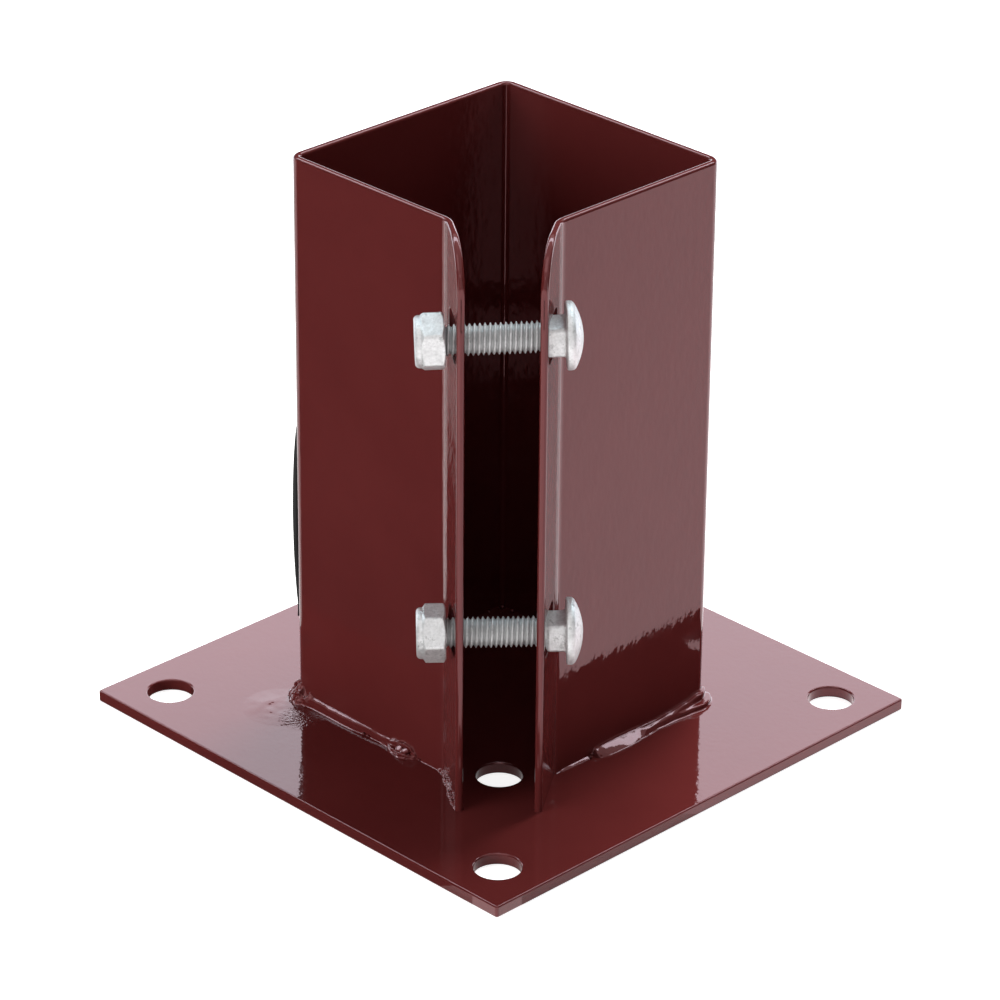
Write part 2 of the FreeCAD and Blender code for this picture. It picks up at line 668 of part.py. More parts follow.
def make_label():
    label = doc.addObject("Part::Box", "label")
    label.Label = "label"
    label.setExpression("Length", "Sizes.label_thick")
    label.setExpression("Width", "Sizes.label_width")
    label.setExpression("Height", "Sizes.label_height")
    shift = "Sizes.socket_shift / sqrt(2)"
    label.setExpression("Placement.Base.x", f"{shift} - Sizes.socket_side / 2 - Sizes.label_thick")
    label.setExpression("Placement.Base.y",
                        f"Sizes.fold_radius + Sizes.sheet_thick - Sizes.socket_side / 2 - {shift}")
    label.setExpression("Placement.Base.z", "Sizes.plate_thick + Sizes.label_rise")
    doc.recompute()
    return label


def main():
    pieces = [make_base_plate(), make_post_socket()]

    section = weld_section()
    welds = [make_weld(section, "weld_front_left", -1, True),
             make_weld(section, "weld_front_right", 1, True),
             make_weld(section, "weld_back_left", 1, False),
             make_weld(section, "weld_back_right", 1, False)]
    place_welds(*welds)
    pieces += welds

    for level in ("upper", "lower"):
        bolt = make_bolt("bolt_" + level)
        nut = make_nut("nut_" + level)
        ring = make_lock_ring("lock_ring_" + level)
        place_fasteners(bolt, nut, ring, level)
        pieces += [bolt, nut, ring]
    pieces.append(make_label())
    doc.recompute()

    for item in doc.Objects:
        if "Invalid" in item.State or "Error" in item.State:
            raise RuntimeError(f"{item.Name} did not build: {item.State}")
    for piece in pieces:
        if piece.Shape.isNull() or not piece.Shape.isValid() or not piece.Shape.Solids:
            raise RuntimeError(f"{piece.Label} has no valid solid")

    os.makedirs("parts", exist_ok=True)
    for piece in pieces:
        piece.Shape.exportStep(f"parts/{piece.Label}.step")
        box = piece.Shape.BoundBox
        print(f"{piece.Label}: {piece.Shape.Volume:.1f} mm3, {len(piece.Shape.Solids)} solid, "
              f"X {box.XMin:.2f} {box.XMax:.2f}, Y {box.YMin:.2f} {box.YMax:.2f}, "
              f"Z {box.ZMin:.2f} {box.ZMax:.2f}")


main()
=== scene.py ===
import math

import bpy
from mathutils import Matrix, Vector, noise
from mathutils.geometry import delaunay_2d_cdt


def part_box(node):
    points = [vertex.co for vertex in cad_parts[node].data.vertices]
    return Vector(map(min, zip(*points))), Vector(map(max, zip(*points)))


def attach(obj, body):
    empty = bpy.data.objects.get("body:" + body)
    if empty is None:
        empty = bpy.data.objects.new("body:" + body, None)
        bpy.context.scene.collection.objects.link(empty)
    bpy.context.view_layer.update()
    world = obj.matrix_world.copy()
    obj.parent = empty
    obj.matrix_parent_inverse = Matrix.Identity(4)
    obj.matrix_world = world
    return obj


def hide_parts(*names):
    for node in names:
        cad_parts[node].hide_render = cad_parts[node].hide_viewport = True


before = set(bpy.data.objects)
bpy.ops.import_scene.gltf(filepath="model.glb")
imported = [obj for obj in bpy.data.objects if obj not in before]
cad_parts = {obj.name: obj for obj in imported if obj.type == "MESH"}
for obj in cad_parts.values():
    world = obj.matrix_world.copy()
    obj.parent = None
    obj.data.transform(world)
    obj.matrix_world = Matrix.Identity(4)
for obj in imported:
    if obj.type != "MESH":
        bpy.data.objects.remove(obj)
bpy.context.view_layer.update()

# All sizes are in millimetres until a mesh is made, and MM turns them into metres.
MM = 0.001
# Places nearer than this are one
TINY = 1e-6
UP = Vector((0, 0, 1))
# The socket stands corner-on to the camera: across it from left to right, and away from its open corner
ACROSS = Vector((1, 1, 0)).normalized()
AWAY = Vector((-1, 1, 0)).normalized()

# Base plate
PLATE_SIDE = 150.0
PLATE_THICK = 3.2
PLATE_CORNER = 0.8
PLATE_EDGE = 0.5
ANCHOR_PLACE = 61.5
ANCHOR_RADIUS = 6.0
DRAIN_RADIUS = 6.0
DRAIN_REACH = 42.0

# Socket, folded from one strip
SOCKET_SIDE = 76.5
SOCKET_HEIGHT = 153.0
SOCKET_SHIFT = 1.5
SHEET = 2.0
SHEET_EDGE = 0.85
FOLD_OUTER = 3.6
EAR_FOLD = 4.4
EAR_GAP = 17.7
EAR_REACH = 59.2
EAR_TOE_IN = 9.4
EAR_CORNER = 12.5
EAR_FOOT_CORNER = 0.9
EAR_HOLE = 10.5
EAR_HOLE_CORNER = 1.4
EAR_HOLE_INSET = 7.5
HOLE_HEIGHTS = {"lower": 48.2, "upper": 127.9}

# Bolts and nuts
THREAD_RADIUS = 3.9
THREAD_DEPTH = 0.75
THREAD_PITCH = 1.25
BOLT_LENGTH = 35.0
TIP_BEVEL = 1.1
NECK_SIDE = 7.9
NECK_LENGTH = 5.0
NECK_CORNER = 0.9
NECK_TURN = 6.5
HEAD_RADIUS = 8.4
HEAD_RIM = 1.8
HEAD_HEIGHT = 4.2
HEAD_EDGE = 0.45
NUT_FLATS = 13.0
NUT_LENGTH = 5.6
NUT_CORNER_TURN = 28
NUT_BEVEL_RADIUS = 6.45
NUT_BEVEL_SLOPE = 30.0
COLLAR_RADIUS = 6.4
COLLAR_LENGTH = 1.7
COLLAR_ROUND = 1.1
NUT_BORE = 4.0
# How the bolts hang in the ears: the gaps at the thread, the head and the nut, and turns in degrees
REST_GAP = 0.2
FASTENERS = {
    "upper": {"head_gap": 3.1, "nut_gap": 1.8, "pitch": 1.9, "yaw": 3.0, "nut_turn": 2.0},
    "lower": {"head_gap": 4.2, "nut_gap": 1.4, "pitch": 1.0, "yaw": 1.5, "nut_turn": -33.0},
}
# The bolts' point attribute for the depth in the thread, which the zinc material reads to paint shade into
# the thread's roots
GROOVE_SHADE_ATTRIBUTE = "painted_groove_shade"

# Weld beads: bulges, crater rim and crater depth are shares of the legs
BEAD_STEPS = 14
BEAD_BULGE = 0.19
FLAT_BULGE = 0.03
CRATER_RIM = 0.22
CRATER_DEPTH = 0.2
TOE_ROUND = 0.75

# Paint in the corner at the sheet's foot, with a skirt past its round, and drops of it on the ears
FILLET_RADIUS = 0.45
FILLET_SKIRT = 0.25
FILLET_STEPS = 6
DRIP_SUNK = 0.25
DRIP_SWELL = 0.75

# Label film: its open edge lifts off the wall and slides along it
LABEL_THICK = 0.18
LABEL_GAP = 0.05
LABEL_LIFT = 2.6
LABEL_SLIDE = 0.9
LABEL_ROWS = 28
LABEL_COLUMNS = 24

# Colours
PAINT_DARK = (0.104, 0.0168, 0.0165, 1)
PAINT_LIGHT = (0.116, 0.0195, 0.019, 1)
PAINT_SHEEN = (1.0, 0.5, 0.52, 1.0)
ZINC_DULL = (0.45, 0.447, 0.449, 1)
ZINC_BRIGHT = (0.745, 0.74, 0.743, 1)
ZINC_STAIN = (0.19, 0.19, 0.19, 1)
# Painted shade for the roots of the bolts' threads
ZINC_GROOVE_SHADE = (0.33, 0.33, 0.33, 1)
NYLON_DARK = (0.70, 0.71, 0.68, 1)
NYLON_LIGHT = (0.80, 0.80, 0.78, 1)
FILM_DARK = (0.006, 0.006, 0.007, 1)
FILM_LIGHT = (0.011, 0.011, 0.012, 1)
FLOOR_PALE = (0.7, 0.7, 0.7, 1)
WHITE = (1, 1, 1, 1)
# Rough places of the plate's paint, beside the start of the left weld and the notch of the right one:
# (x, y, reach, height of the grain, height of the swell)
ROUGH_SPOTS = ((-27.0, -46.0, 7.0, 0.2, 0.0), (-35.0, -46.5, 10.0, 0.0, 0.45), (47.0, -24.0, 13.0, 0.0, 0.5))

# Studio
WORLD_LIGHT = 0.25
FLOOR_GLOW = 0.85
FLOOR_SHEEN = 0.5
FLOOR_SIDE = 6000
FLOOR_DROP = 0.02
LAMP_TARGET = UP * 70
BACKDROP_COLOUR = (0.94, 1.03, 1.13, 1)
OVERHEAD_COLOUR = (0.86, 1.15, 1.26, 1)
BRIGHT_FLOOR_COLOUR = (1.0, 0.92, 0.95, 1)
DARK_FLOOR_SLANT = 5.0

# Camera, found from the plate and the rim in the photograph; angles in degrees
CAMERA_AZIMUTH = 0.2691
CAMERA_ELEVATION = 26.555
CAMERA_ROLL = 0.4709
CAMERA_DISTANCE = 1137.1
CAMERA_TARGET = ACROSS * -0.5752 + UP * 60.3953
CAMERA_LENS = 158.91
CAMERA_SENSOR = 36.0


def add_object(name, data):
    """A new object in the scene, from a mesh, a lamp or a camera."""
    thing = bpy.data.objects.new(name, data)
    bpy.context.scene.collection.objects.link(thing)
    return thing


class Shape:
    """Vertices in millimetres, their normals where they are known, and faces, for one mesh."""

    def __init__(self):
        self.points = []
        self.normals = []
        self.faces = []

    def add(self, point, normal=None):
        self.points.append(Vector(point))
        self.normals.append(normal)
        return len(self.points) - 1

    def grid(self, rows, closed=False):
        """Quads between neighbouring rows; closed rows run back to their start."""
        for low, high in zip(rows, rows[1:]):
            count = len(low)
            for here in range(count if closed else count - 1):
                after = (here + 1) % count
                self.faces.append((low[here], high[here], high[after], low[after]))

    def move(self, matrix):
        self.points = [matrix @ point for point in self.points]

    def piece(self, name):
        mesh = bpy.data.meshes.new(name)
        mesh.from_pydata([point * MM for point in self.points], [], self.faces)
        mesh.update()
        mesh.shade_smooth()
        if all(normal is not None for normal in self.normals):
            mesh.normals_split_custom_set_from_vertices([normal.normalized() for normal in self.normals])
        return add_object(name, mesh)


def dress(shape, name, node, material):
    """Make a piece with a material under the root, in place of the CAD node where one is named, which it
    hides.
    """
    piece = shape.piece(name)
    piece.data.materials.append(material)
    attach(piece, "root")
    if node:
        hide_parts(node)
    return piece


# Flat loops: (x, y, outward x, outward y), with the metal on the left of the way round

def rounded_rectangle(low, high, radii, steps, foot_stops=(), head_stops=()):
    """Anticlockwise loop with rounded corners, from the lower left; stops are extra x places."""
    (x0, y0), (x1, y1) = low, high
    corners = [(x0, y0, 1, 1, 180), (x1, y0, -1, 1, 270), (x1, y1, -1, -1, 0), (x0, y1, 1, -1, 90)]
    loop = []
    for index, (x, y, in_x, in_y, start) in enumerate(corners):
        radius = radii[index]
        for step in range(steps + 1):
            angle = math.radians(start + 90 * step / steps)
            out = (math.cos(angle), math.sin(angle))
            loop.append((x + in_x * radius + out[0] * radius, y + in_y * radius + out[1] * radius, *out))
        if index == 0:
            loop += [(stop, y0, 0.0, -1.0) for stop in sorted(foot_stops)]
        if index == 2:
            loop += [(stop, y1, 0.0, 1.0) for stop in sorted(head_stops, reverse=True)]
    return loop


def circle_loop(x, y, radius, steps):
    """Anticlockwise circle about (x, y)."""
    angles = [math.tau * step / steps for step in range(steps)]
    return [(x + radius * math.cos(a), y + radius * math.sin(a), math.cos(a), math.sin(a)) for a in angles]


def as_hole(loop):
    """The loop run clockwise as a hole's edge, whose outward side is inside the hole."""
    return [(x, y, -out_x, -out_y) for x, y, out_x, out_y in reversed(loop)]


def inside_loop(x, y, loop):
    """Whether the point is inside, by how many of the loop's edges lie to its right."""
    inside = False
    for (x0, y0, _, _), (x1, y1, _, _) in zip(loop, loop[1:] + loop[:1]):
        if (y0 > y) != (y1 > y) and x < x0 + (y - y0) * (x1 - x0) / (y1 - y0):
            inside = not inside
    return inside


def rounded_slab(outer, holes, thick, edge, place, bends=()):
    """A sheet between depth 0 and -thick with rounded arrises, bent by place(x, y, depth, normal)
    along the bends, which are x places where the outer loop has a stop at its foot and its head."""
    shape = Shape()
    edge_steps = 5
    turns = [math.radians(90 * step / edge_steps) for step in range(edge_steps + 1)]
    rims = []
    for loop in [outer] + holes:
        rings = []
        for side, order in ((1, turns), (-1, turns[::-1])):
            for turn in order:
                inset = edge * (1 - math.sin(turn))
                sunk = edge * (1 - math.cos(turn))
                depth = -sunk if side > 0 else sunk - thick
                ring = []
                for x, y, out_x, out_y in loop:
                    normal = Vector((out_x * math.sin(turn), out_y * math.sin(turn), side * math.cos(turn)))
                    ring.append(shape.add(*place(x - out_x * inset, y - out_y * inset, depth, normal)))
                rings.append(ring)
        shape.grid(rings, closed=True)
        rims.append((loop, rings[0], rings[-1]))

    # The same triangles fill both flat faces, and none of them crosses a bend
    corners = []
    edges = []
    index_top = []
    index_low = []
    for loop, top_ring, low_ring in rims:
        start = len(corners)
        corners += [Vector((x - out_x * edge, y - out_y * edge)) for x, y, out_x, out_y in loop]
        index_top += top_ring
        index_low += low_ring
        edges += [(start + i, start + (i + 1) % len(loop)) for i in range(len(loop))]
    for bend in bends:
        ends = [i for i, (x, _, _, out_y) in enumerate(outer) if abs(x - bend) < TINY and abs(out_y) > 0.99]
        edges.append((ends[0], ends[-1]))
    places, _, triangles, origins, _, _ = delaunay_2d_cdt(corners, edges, [], 0, TINY, True)
    flat_holes = [[(x - out_x * edge, y - out_y * edge, out_x, out_y) for x, y, out_x, out_y in hole]
                  for hole in holes]
    for triangle in triangles:
        x = sum(places[i].x for i in triangle) / 3
        y = sum(places[i].y for i in triangle) / 3
        if any(inside_loop(x, y, hole) for hole in flat_holes):
            continue
        corner_ids = [origins[i][0] for i in triangle]
        a, b, c = (places[i] for i in triangle)
        if (b - a).cross(c - a) < 0:
            corner_ids.reverse()
        shape.faces.append(tuple(index_top[i] for i in corner_ids))
        shape.faces.append(tuple(index_low[i] for i in reversed(corner_ids)))
    return shape


def make_base_plate(material):
    """The flat plate with four anchor holes and a drain hole under the socket's open corner."""
    half = PLATE_SIDE / 2
    outer = rounded_rectangle((-half, -half), (half, half), [PLATE_CORNER] * 4, 6)
    holes = [as_hole(circle_loop(sx * ANCHOR_PLACE, sy * ANCHOR_PLACE, ANCHOR_RADIUS, 72))
             for sx in (-1, 1) for sy in (-1, 1)]
    reach = DRAIN_REACH * math.sqrt(0.5)
    holes.append(as_hole(circle_loop(reach, -reach, DRAIN_RADIUS, 72)))
    shape = rounded_slab(outer, holes, PLATE_THICK, PLATE_EDGE,
                         lambda x, y, depth, normal: (Vector((x, y, PLATE_THICK + depth)), normal))
    dress(shape, "plate_painted", "base_plate", material)


# The strip's line in plan, from the middle of the back corner to the tip of the left ear

def plan_path():
    """Runs of (length, turn in degrees, anticlockwise positive) of the strip's outer face:
    half the back fold, back wall, side fold, front wall, ear fold and ear."""
    centre_reach = SOCKET_SIDE * math.sqrt(0.5) - FOLD_OUTER * math.sqrt(2)
    toe_in = math.radians(EAR_TOE_IN)
    ear_turn = math.radians(45) - toe_in
    tip = Vector((-EAR_GAP / 2 - SHEET * math.cos(toe_in), -EAR_REACH - SHEET * math.sin(toe_in)))
    wall_start = Vector((-centre_reach, 0)) - Vector((1, 1)) * FOLD_OUTER * math.sqrt(0.5)
    wall_way = Vector((1, -1)) * math.sqrt(0.5)
    ear_way = Vector((math.sin(toe_in), -math.cos(toe_in)))
    # The front wall and the ear are as long as it takes to reach the ear's tip round their fold
    fold_centre_side = Vector((-1, -1)) * math.sqrt(0.5)
    fold_shift = EAR_FOLD * (fold_centre_side + Vector((math.cos(toe_in), math.sin(toe_in))))
    rest = tip - wall_start - fold_shift
    cross = wall_way.cross(ear_way)
    wall = rest.cross(ear_way) / cross
    ear = wall_way.cross(rest) / cross
    return [(FOLD_OUTER * math.pi / 4, 45), (centre_reach * math.sqrt(2), 0), (FOLD_OUTER * math.pi / 2, 90),
            (wall, 0), (EAR_FOLD * ear_turn, -math.degrees(ear_turn)), (ear, 0)]


PLAN = plan_path()
STRIP_HALF = sum(length for length, _ in PLAN)
PLAN_START = Vector((0, SOCKET_SIDE * math.sqrt(0.5) - FOLD_OUTER * (math.sqrt(2) - 1)))
# Where the side fold starts and ends and the ear fold starts, along the left half of the strip
SIDE_FOLD_START = FOLD_OUTER * math.pi / 4 + (SOCKET_SIDE - 2 * FOLD_OUTER)
SIDE_FOLD_END = SIDE_FOLD_START + FOLD_OUTER * math.pi / 2
EAR_FOLD_START = SIDE_FOLD_END + PLAN[3][0]


def strip_frame(s):
    """Place, way and outward normal of the strip's outer face in plan, and its curvature, at run s,
    which is positive on the left half and negative on its mirror image on the right."""
    place = PLAN_START.copy()
    heading = math.pi
    left = abs(s)
    bend = 0.0
    for length, turn in PLAN:
        run = min(left, length)
        if turn:
            # Round the fold's centre
            radius = length / math.radians(turn)
            place += Vector((-math.sin(heading), math.cos(heading))) * radius
            heading += math.radians(turn) * run / length
            place -= Vector((-math.sin(heading), math.cos(heading))) * radius
            bend = 1 / radius
        else:
            place += Vector((math.cos(heading), math.sin(heading))) * run
            bend = 0.0
        left -= run
        if left <= 1e-9:
            break
    way = Vector((math.cos(heading), math.sin(heading)))
    outward = Vector((way.y, -way.x))
    if s < 0:
        place = Vector((-place.x, place.y))
        outward = Vector((-outward.x, outward.y))
        way = Vector((way.x, -way.y))
    return place, way, outward, bend


def socket_vector(vector):
    """A direction in the socket's own frame, turned to the part's."""
    return ACROSS * vector.x + AWAY * vector.y


def socket_point(x, y, z):
    """A point in the socket's own frame, z over the plate, brought to the part's."""
    return ACROSS * x + AWAY * (y - SOCKET_SHIFT) + UP * (z + PLATE_THICK)


def bent_place(x, y, depth, normal):
    """Take a point of the flat strip, x along it and y up, to its place on the folded socket."""
    place, way, outward, bend = strip_frame(x)
    plan = place + outward * depth
    turned = socket_vector(way) * normal.x / (1 + bend * depth) + UP * normal.y
    turned += socket_vector(outward) * normal.z
    return socket_point(plan.x, plan.y, y), turned


def ear_hole_run():
    """How far along the strip the middle of an ear's holes lies."""
    toe_in = math.radians(EAR_TOE_IN)
    return STRIP_HALF - (EAR_HOLE_INSET + SHEET * math.sin(toe_in) / 2) / math.cos(toe_in)


def fold_stops():
    """Places along the strip where a fold starts, ends or takes a step, on both halves."""
    stops = []
    run = 0.0
    for length, turn in PLAN:
        if turn:
            steps = max(4, round(abs(turn) / 6))
            stops += [run + length * step / steps for step in range(steps + 1)]
        run += length
    stops = {round(stop, 6) for stop in stops}
    return sorted(stops | {-stop for stop in stops})


def make_socket(material):
    """The folded strip from ear to ear, with a square hole in each ear for each bolt."""
    stops = fold_stops()
    # The foot goes a little into the plate, so that its rounded arris doesn't show
    outer = rounded_rectangle((-STRIP_HALF, -SHEET_EDGE), (STRIP_HALF, SOCKET_HEIGHT),
                              [EAR_FOOT_CORNER, EAR_FOOT_CORNER, EAR_CORNER, EAR_CORNER], 20, stops, stops)
    holes = []
    half = EAR_HOLE / 2
    for side in (-1, 1):
        for height in HOLE_HEIGHTS.values():
            x = side * ear_hole_run()
            holes.append(as_hole(rounded_rectangle((x - half, height - half), (x + half, height + half),
                                                   [EAR_HOLE_CORNER] * 4, 6)))
    shape = rounded_slab(outer, holes, SHEET, SHEET_EDGE, bent_place, stops)
    dress(shape, "socket_folded", "post_socket", material)


# Fasteners, built on their own axis with the bolt's head up

def revolve(shape, profile, steps=72):
    """Turn (radius, height) points about the axis, outward side on the right going up."""
    rows = [[shape.add((x, y, height)) for x, y, _, _ in circle_loop(0, 0, radius, steps)]
            for radius, height in profile]
    shape.grid(rows[::-1], closed=True)


def arc_points(centre, radius, start, end, steps):
    """Points of an arc between two angles in degrees."""
    angles = [math.radians(start + (end - start) * i / steps) for i in range(steps + 1)]
    return [(centre[0] + radius * math.cos(a), centre[1] + radius * math.sin(a)) for a in angles]


def head_profile():
    """(radius, height) points from the middle of the underside out and over the dome."""
    dome = HEAD_HEIGHT - HEAD_RIM
    radius = (HEAD_RADIUS ** 2 + dome ** 2) / (2 * dome)
    low_edge = arc_points((HEAD_RADIUS - HEAD_EDGE, HEAD_EDGE), HEAD_EDGE, -90, 0, 5)
    middle = (0.0, HEAD_HEIGHT - radius)
    rim_angle = math.degrees(math.atan2(HEAD_RIM - middle[1], HEAD_RADIUS))
    # The dome starts a little inside the rim, where a soft shoulder leads to it
    dome_line = arc_points(middle, radius, rim_angle + 2.5, 89.6, 26)
    shoulder_radius = dome_line[0][0]
    shoulder = [(HEAD_RADIUS, HEAD_RIM * 0.62), (HEAD_RADIUS - 0.05, HEAD_RIM * 0.85),
                (shoulder_radius + 0.12, dome_line[0][1] - 0.09)]
    return [(NECK_SIDE * 0.3, 0.0), (HEAD_RADIUS - 1.4, 0.0)] + low_edge + shoulder + dome_line


def neck_rows(shape):
    """Square neck under the head, with rounded corners and a drawn-in end.
    Each row is (height, how far its sides stand out past the neck's)."""
    half = NECK_SIDE / 2
    rows = []
    for height, grow in ((0.1, 0.55), (-0.12, 0.3), (-0.45, 0.06), (-0.9, 0.0), (-NECK_LENGTH + 0.9, 0.0),
                         (-NECK_LENGTH + 0.35, -0.12), (-NECK_LENGTH, -0.55), (-NECK_LENGTH - 0.35, -1.2)):
        side = half + grow
        loop = rounded_rectangle((-side, -side), (side, side), [NECK_CORNER] * 4, 6)
        rows.append([shape.add((x, y, height)) for x, y, _, _ in loop])
    shape.grid(rows, closed=True)


def thread_rows(shape):
    """A helical thread from the neck to the tip: crests and roots run round in one spiral.
    Its profile is (share of the pitch, share of the depth)."""
    steps = 56
    profile = [(0.0, 0.0), (0.12, 0.08), (0.3, 0.54), (0.42, 0.92), (0.5, 1.0), (0.58, 0.92), (0.7, 0.54),
               (0.88, 0.08)]
    runout_radius = THREAD_RADIUS - THREAD_DEPTH * 0.45
    top = -NECK_LENGTH + 0.6
    tip = -BOLT_LENGTH
    turns = int((top - tip) / THREAD_PITCH) + 2
    rows = []
    for turn in range(turns):
        for lead, height in profile:
            row = []
            for step in range(steps + 1):
                z = top - (turn - 1 + lead + step / steps) * THREAD_PITCH
                radius = THREAD_RADIUS - THREAD_DEPTH * (1 - height)
                # The runout under the neck fades in, and the tip is cut to a cone
                fade = min(1.0, max(0.0, (top - z) / (2 * THREAD_PITCH)))
                radius = radius * fade + runout_radius * (1 - fade)
                cut = max(0.0, min(z, top) - tip)
                radius = min(radius, THREAD_RADIUS - TIP_BEVEL + cut)
                angle = math.tau * step / steps
                z = max(tip, min(top, z))
                row.append(shape.add((radius * math.cos(angle), radius * math.sin(angle), z)))
            rows.append(row)
    shape.grid(rows)
    revolve(shape, [(0.0, tip), (THREAD_RADIUS - TIP_BEVEL, tip)], steps)


def nut_shape():
    """Hexagon with bevelled ends and a crimped collar, its bearing face at height 0."""
    shape = Shape()
    inner = NUT_FLATS / 2
    # The hexagon's corners are cut a little short, at this turn from the middle of each flat
    corner_limit = inner / math.cos(math.radians(NUT_CORNER_TURN))
    slope = math.tan(math.radians(NUT_BEVEL_SLOPE))
    angles = []
    for flat in range(6):
        for turn in (-NUT_CORNER_TURN, -25.5, -18, -9, 0, 9, 18, 25.5, NUT_CORNER_TURN):
            angles.append((60 * flat + 30 + turn, turn))
    collar_top = NUT_LENGTH + COLLAR_LENGTH
    crimp = arc_points((COLLAR_RADIUS - COLLAR_ROUND, collar_top - COLLAR_ROUND), COLLAR_ROUND, 0, 90, 6)
    columns = []
    for angle, turn in angles:
        reach = min(inner / math.cos(math.radians(turn)), corner_limit)
        bevel = (reach - NUT_BEVEL_RADIUS) * slope
        # From inside the bore over the bearing face, the flat and the collar, and in at its top
        line = [(NUT_BORE, 1.2), (NUT_BORE, 0.45), (NUT_BORE + 0.45, 0.0), (NUT_BORE + 0.6, 0.0),
                (NUT_BEVEL_RADIUS - 0.12, 0.0), (NUT_BEVEL_RADIUS + 0.05, 0.03),
                (reach - 0.12, max(0.05, bevel - 0.07)), (reach, bevel + 0.09), (reach, bevel + 0.3),
                (reach, NUT_LENGTH - bevel - 0.3), (reach, NUT_LENGTH - bevel - 0.09),
                (reach - 0.12, NUT_LENGTH - max(0.05, bevel - 0.07)),
                (COLLAR_RADIUS + 0.12, NUT_LENGTH - 0.01), (COLLAR_RADIUS, NUT_LENGTH + 0.1),
                (COLLAR_RADIUS, NUT_LENGTH + 0.3)]
        line += crimp + [(NUT_BORE + 0.7, collar_top), (NUT_BORE + 0.5, collar_top - 0.2),
                         (NUT_BORE + 0.5, collar_top - 0.7)]
        way = Vector((math.cos(math.radians(angle)), math.sin(math.radians(angle)), 0))
        columns.append([shape.add(way * radius + UP * height) for radius, height in line])
    rows = list(map(list, zip(*columns)))
    shape.grid(rows[::-1], closed=True)
    return shape


def turned(degrees, axis):
    """A turn of so many degrees about an axis of its own frame."""
    return Matrix.Rotation(math.radians(degrees), 4, axis)


def fastener_frames(level):
    """Where the bolt's and the nut's own frames stand, in millimetres."""
    hang = FASTENERS[level]
    toe_in = math.radians(EAR_TOE_IN)
    ear_outside = EAR_GAP / 2 + SHEET / math.cos(toe_in) + EAR_HOLE_INSET * math.tan(toe_in)
    at_nut = HOLE_HEIGHTS[level] - EAR_HOLE / 2 + REST_GAP + THREAD_RADIUS
    rise = ear_outside * math.tan(math.radians(hang["pitch"]))
    middle = Vector((0, EAR_HOLE_INSET - EAR_REACH, at_nut + rise))
    swing = turned(hang["yaw"], "Z") @ turned(-hang["pitch"], "Y")
    axis = swing @ Vector((1, 0, 0))

    def at(place, turn_y, turn_z):
        return (Matrix.Translation(socket_point(*place)) @ turned(45, "Z") @ swing
                @ turned(turn_y, "Y") @ turned(turn_z, "Z"))

    bolt = at(middle + axis * (ear_outside + hang["head_gap"]), 90, NECK_TURN)
    nut = at(middle - axis * (ear_outside + hang["nut_gap"]), -90, hang["nut_turn"])
    return bolt, nut


def groove_share(point):
    """How deep a point of the bolt lies in its thread: 0 on the crests, 1 in the roots; it masks the painted
    shade in the thread.
    """
    if not -BOLT_LENGTH < point.z < -NECK_LENGTH - 0.5:
        return 0.0
    depth = (THREAD_RADIUS - math.hypot(point.x, point.y)) / THREAD_DEPTH
    return max(0.0, min(1.0, depth * 1.3 - 0.25))


def make_fasteners(level, zinc):
    """The bolt and the nut of one level; the nut sits on the thread with its collar outward."""
    bolt_frame, nut_frame = fastener_frames(level)
    bolt = Shape()
    revolve(bolt, head_profile())
    neck_rows(bolt)
    thread_rows(bolt)
    # How deep each point lies in the thread, which the zinc material turns into painted shade
    depths = [groove_share(point) for point in bolt.points]
    bolt.move(bolt_frame)
    piece = dress(bolt, "cup_bolt_" + level, "bolt_" + level, zinc)
    piece.data.attributes.new(GROOVE_SHADE_ATTRIBUTE, "FLOAT", "POINT").data.foreach_set("value", depths)
    nut = nut_shape()
    nut.move(nut_frame)
    dress(nut, "hex_lock_nut_" + level, "nut_" + level, zinc)


# Welds: a bead follows the line where the socket's outer face meets the plate

def smooth_between(values, where):
    """Value at a place between stations, eased so that it has no kinks; stations are (place, value...)."""
    if where <= values[0][0]:
        return values[0][1:]
    for first, second in zip(values, values[1:]):
        if where <= second[0]:
            share = (where - first[0]) / (second[0] - first[0])
            share = share * share * (3 - 2 * share)
            return tuple(a + (b - a) * share for a, b in zip(first[1:], second[1:]))
    return values[-1][1:]


def curve_through(points, steps):
    """Catmull-Rom curve through flat points, with so many steps from one to the next."""
    padded = [points[0]] + points + [points[-1]]
    line = []
    for a, b, c, d in zip(padded, padded[1:], padded[2:], padded[3:]):
        for step in range(steps):
            t = step / steps
            line.append(0.5 * (2 * b + (c - a) * t + (2 * a - 5 * b + 4 * c - d) * t * t
                               + (3 * b - a - 3 * c + d) * t ** 3))
    line.append(points[-1])
    return line


def wobble(where, scale, seed):
    """Smooth noise along a run, different for each seed."""
    return noise.noise(Vector((where * scale, seed * 7.31, seed * 1.7)))


def bead_section(wall_leg, plate_leg, flat, hollow):
    """Points (out, up) from the wall toe to the plate toe: bulging, nearly flat, or hollow as a crater."""
    wall_toe, plate_toe = Vector((0, wall_leg)), Vector((plate_leg, 0))
    bulge = BEAD_BULGE + (FLAT_BULGE - BEAD_BULGE) * flat
    line = []
    for step in range(1, BEAD_STEPS):
        share = step / BEAD_STEPS
        wave = math.sin(math.pi * share) ** 2
        rim = CRATER_RIM * math.sin(math.tau * share) ** 2 - CRATER_DEPTH * wave
        swell = 4 * bulge * share * (1 - share) * (1 - hollow) + rim * hollow
        line.append(wall_toe.lerp(plate_toe, share) + Vector((wall_leg, plate_leg)) * swell)
    return line


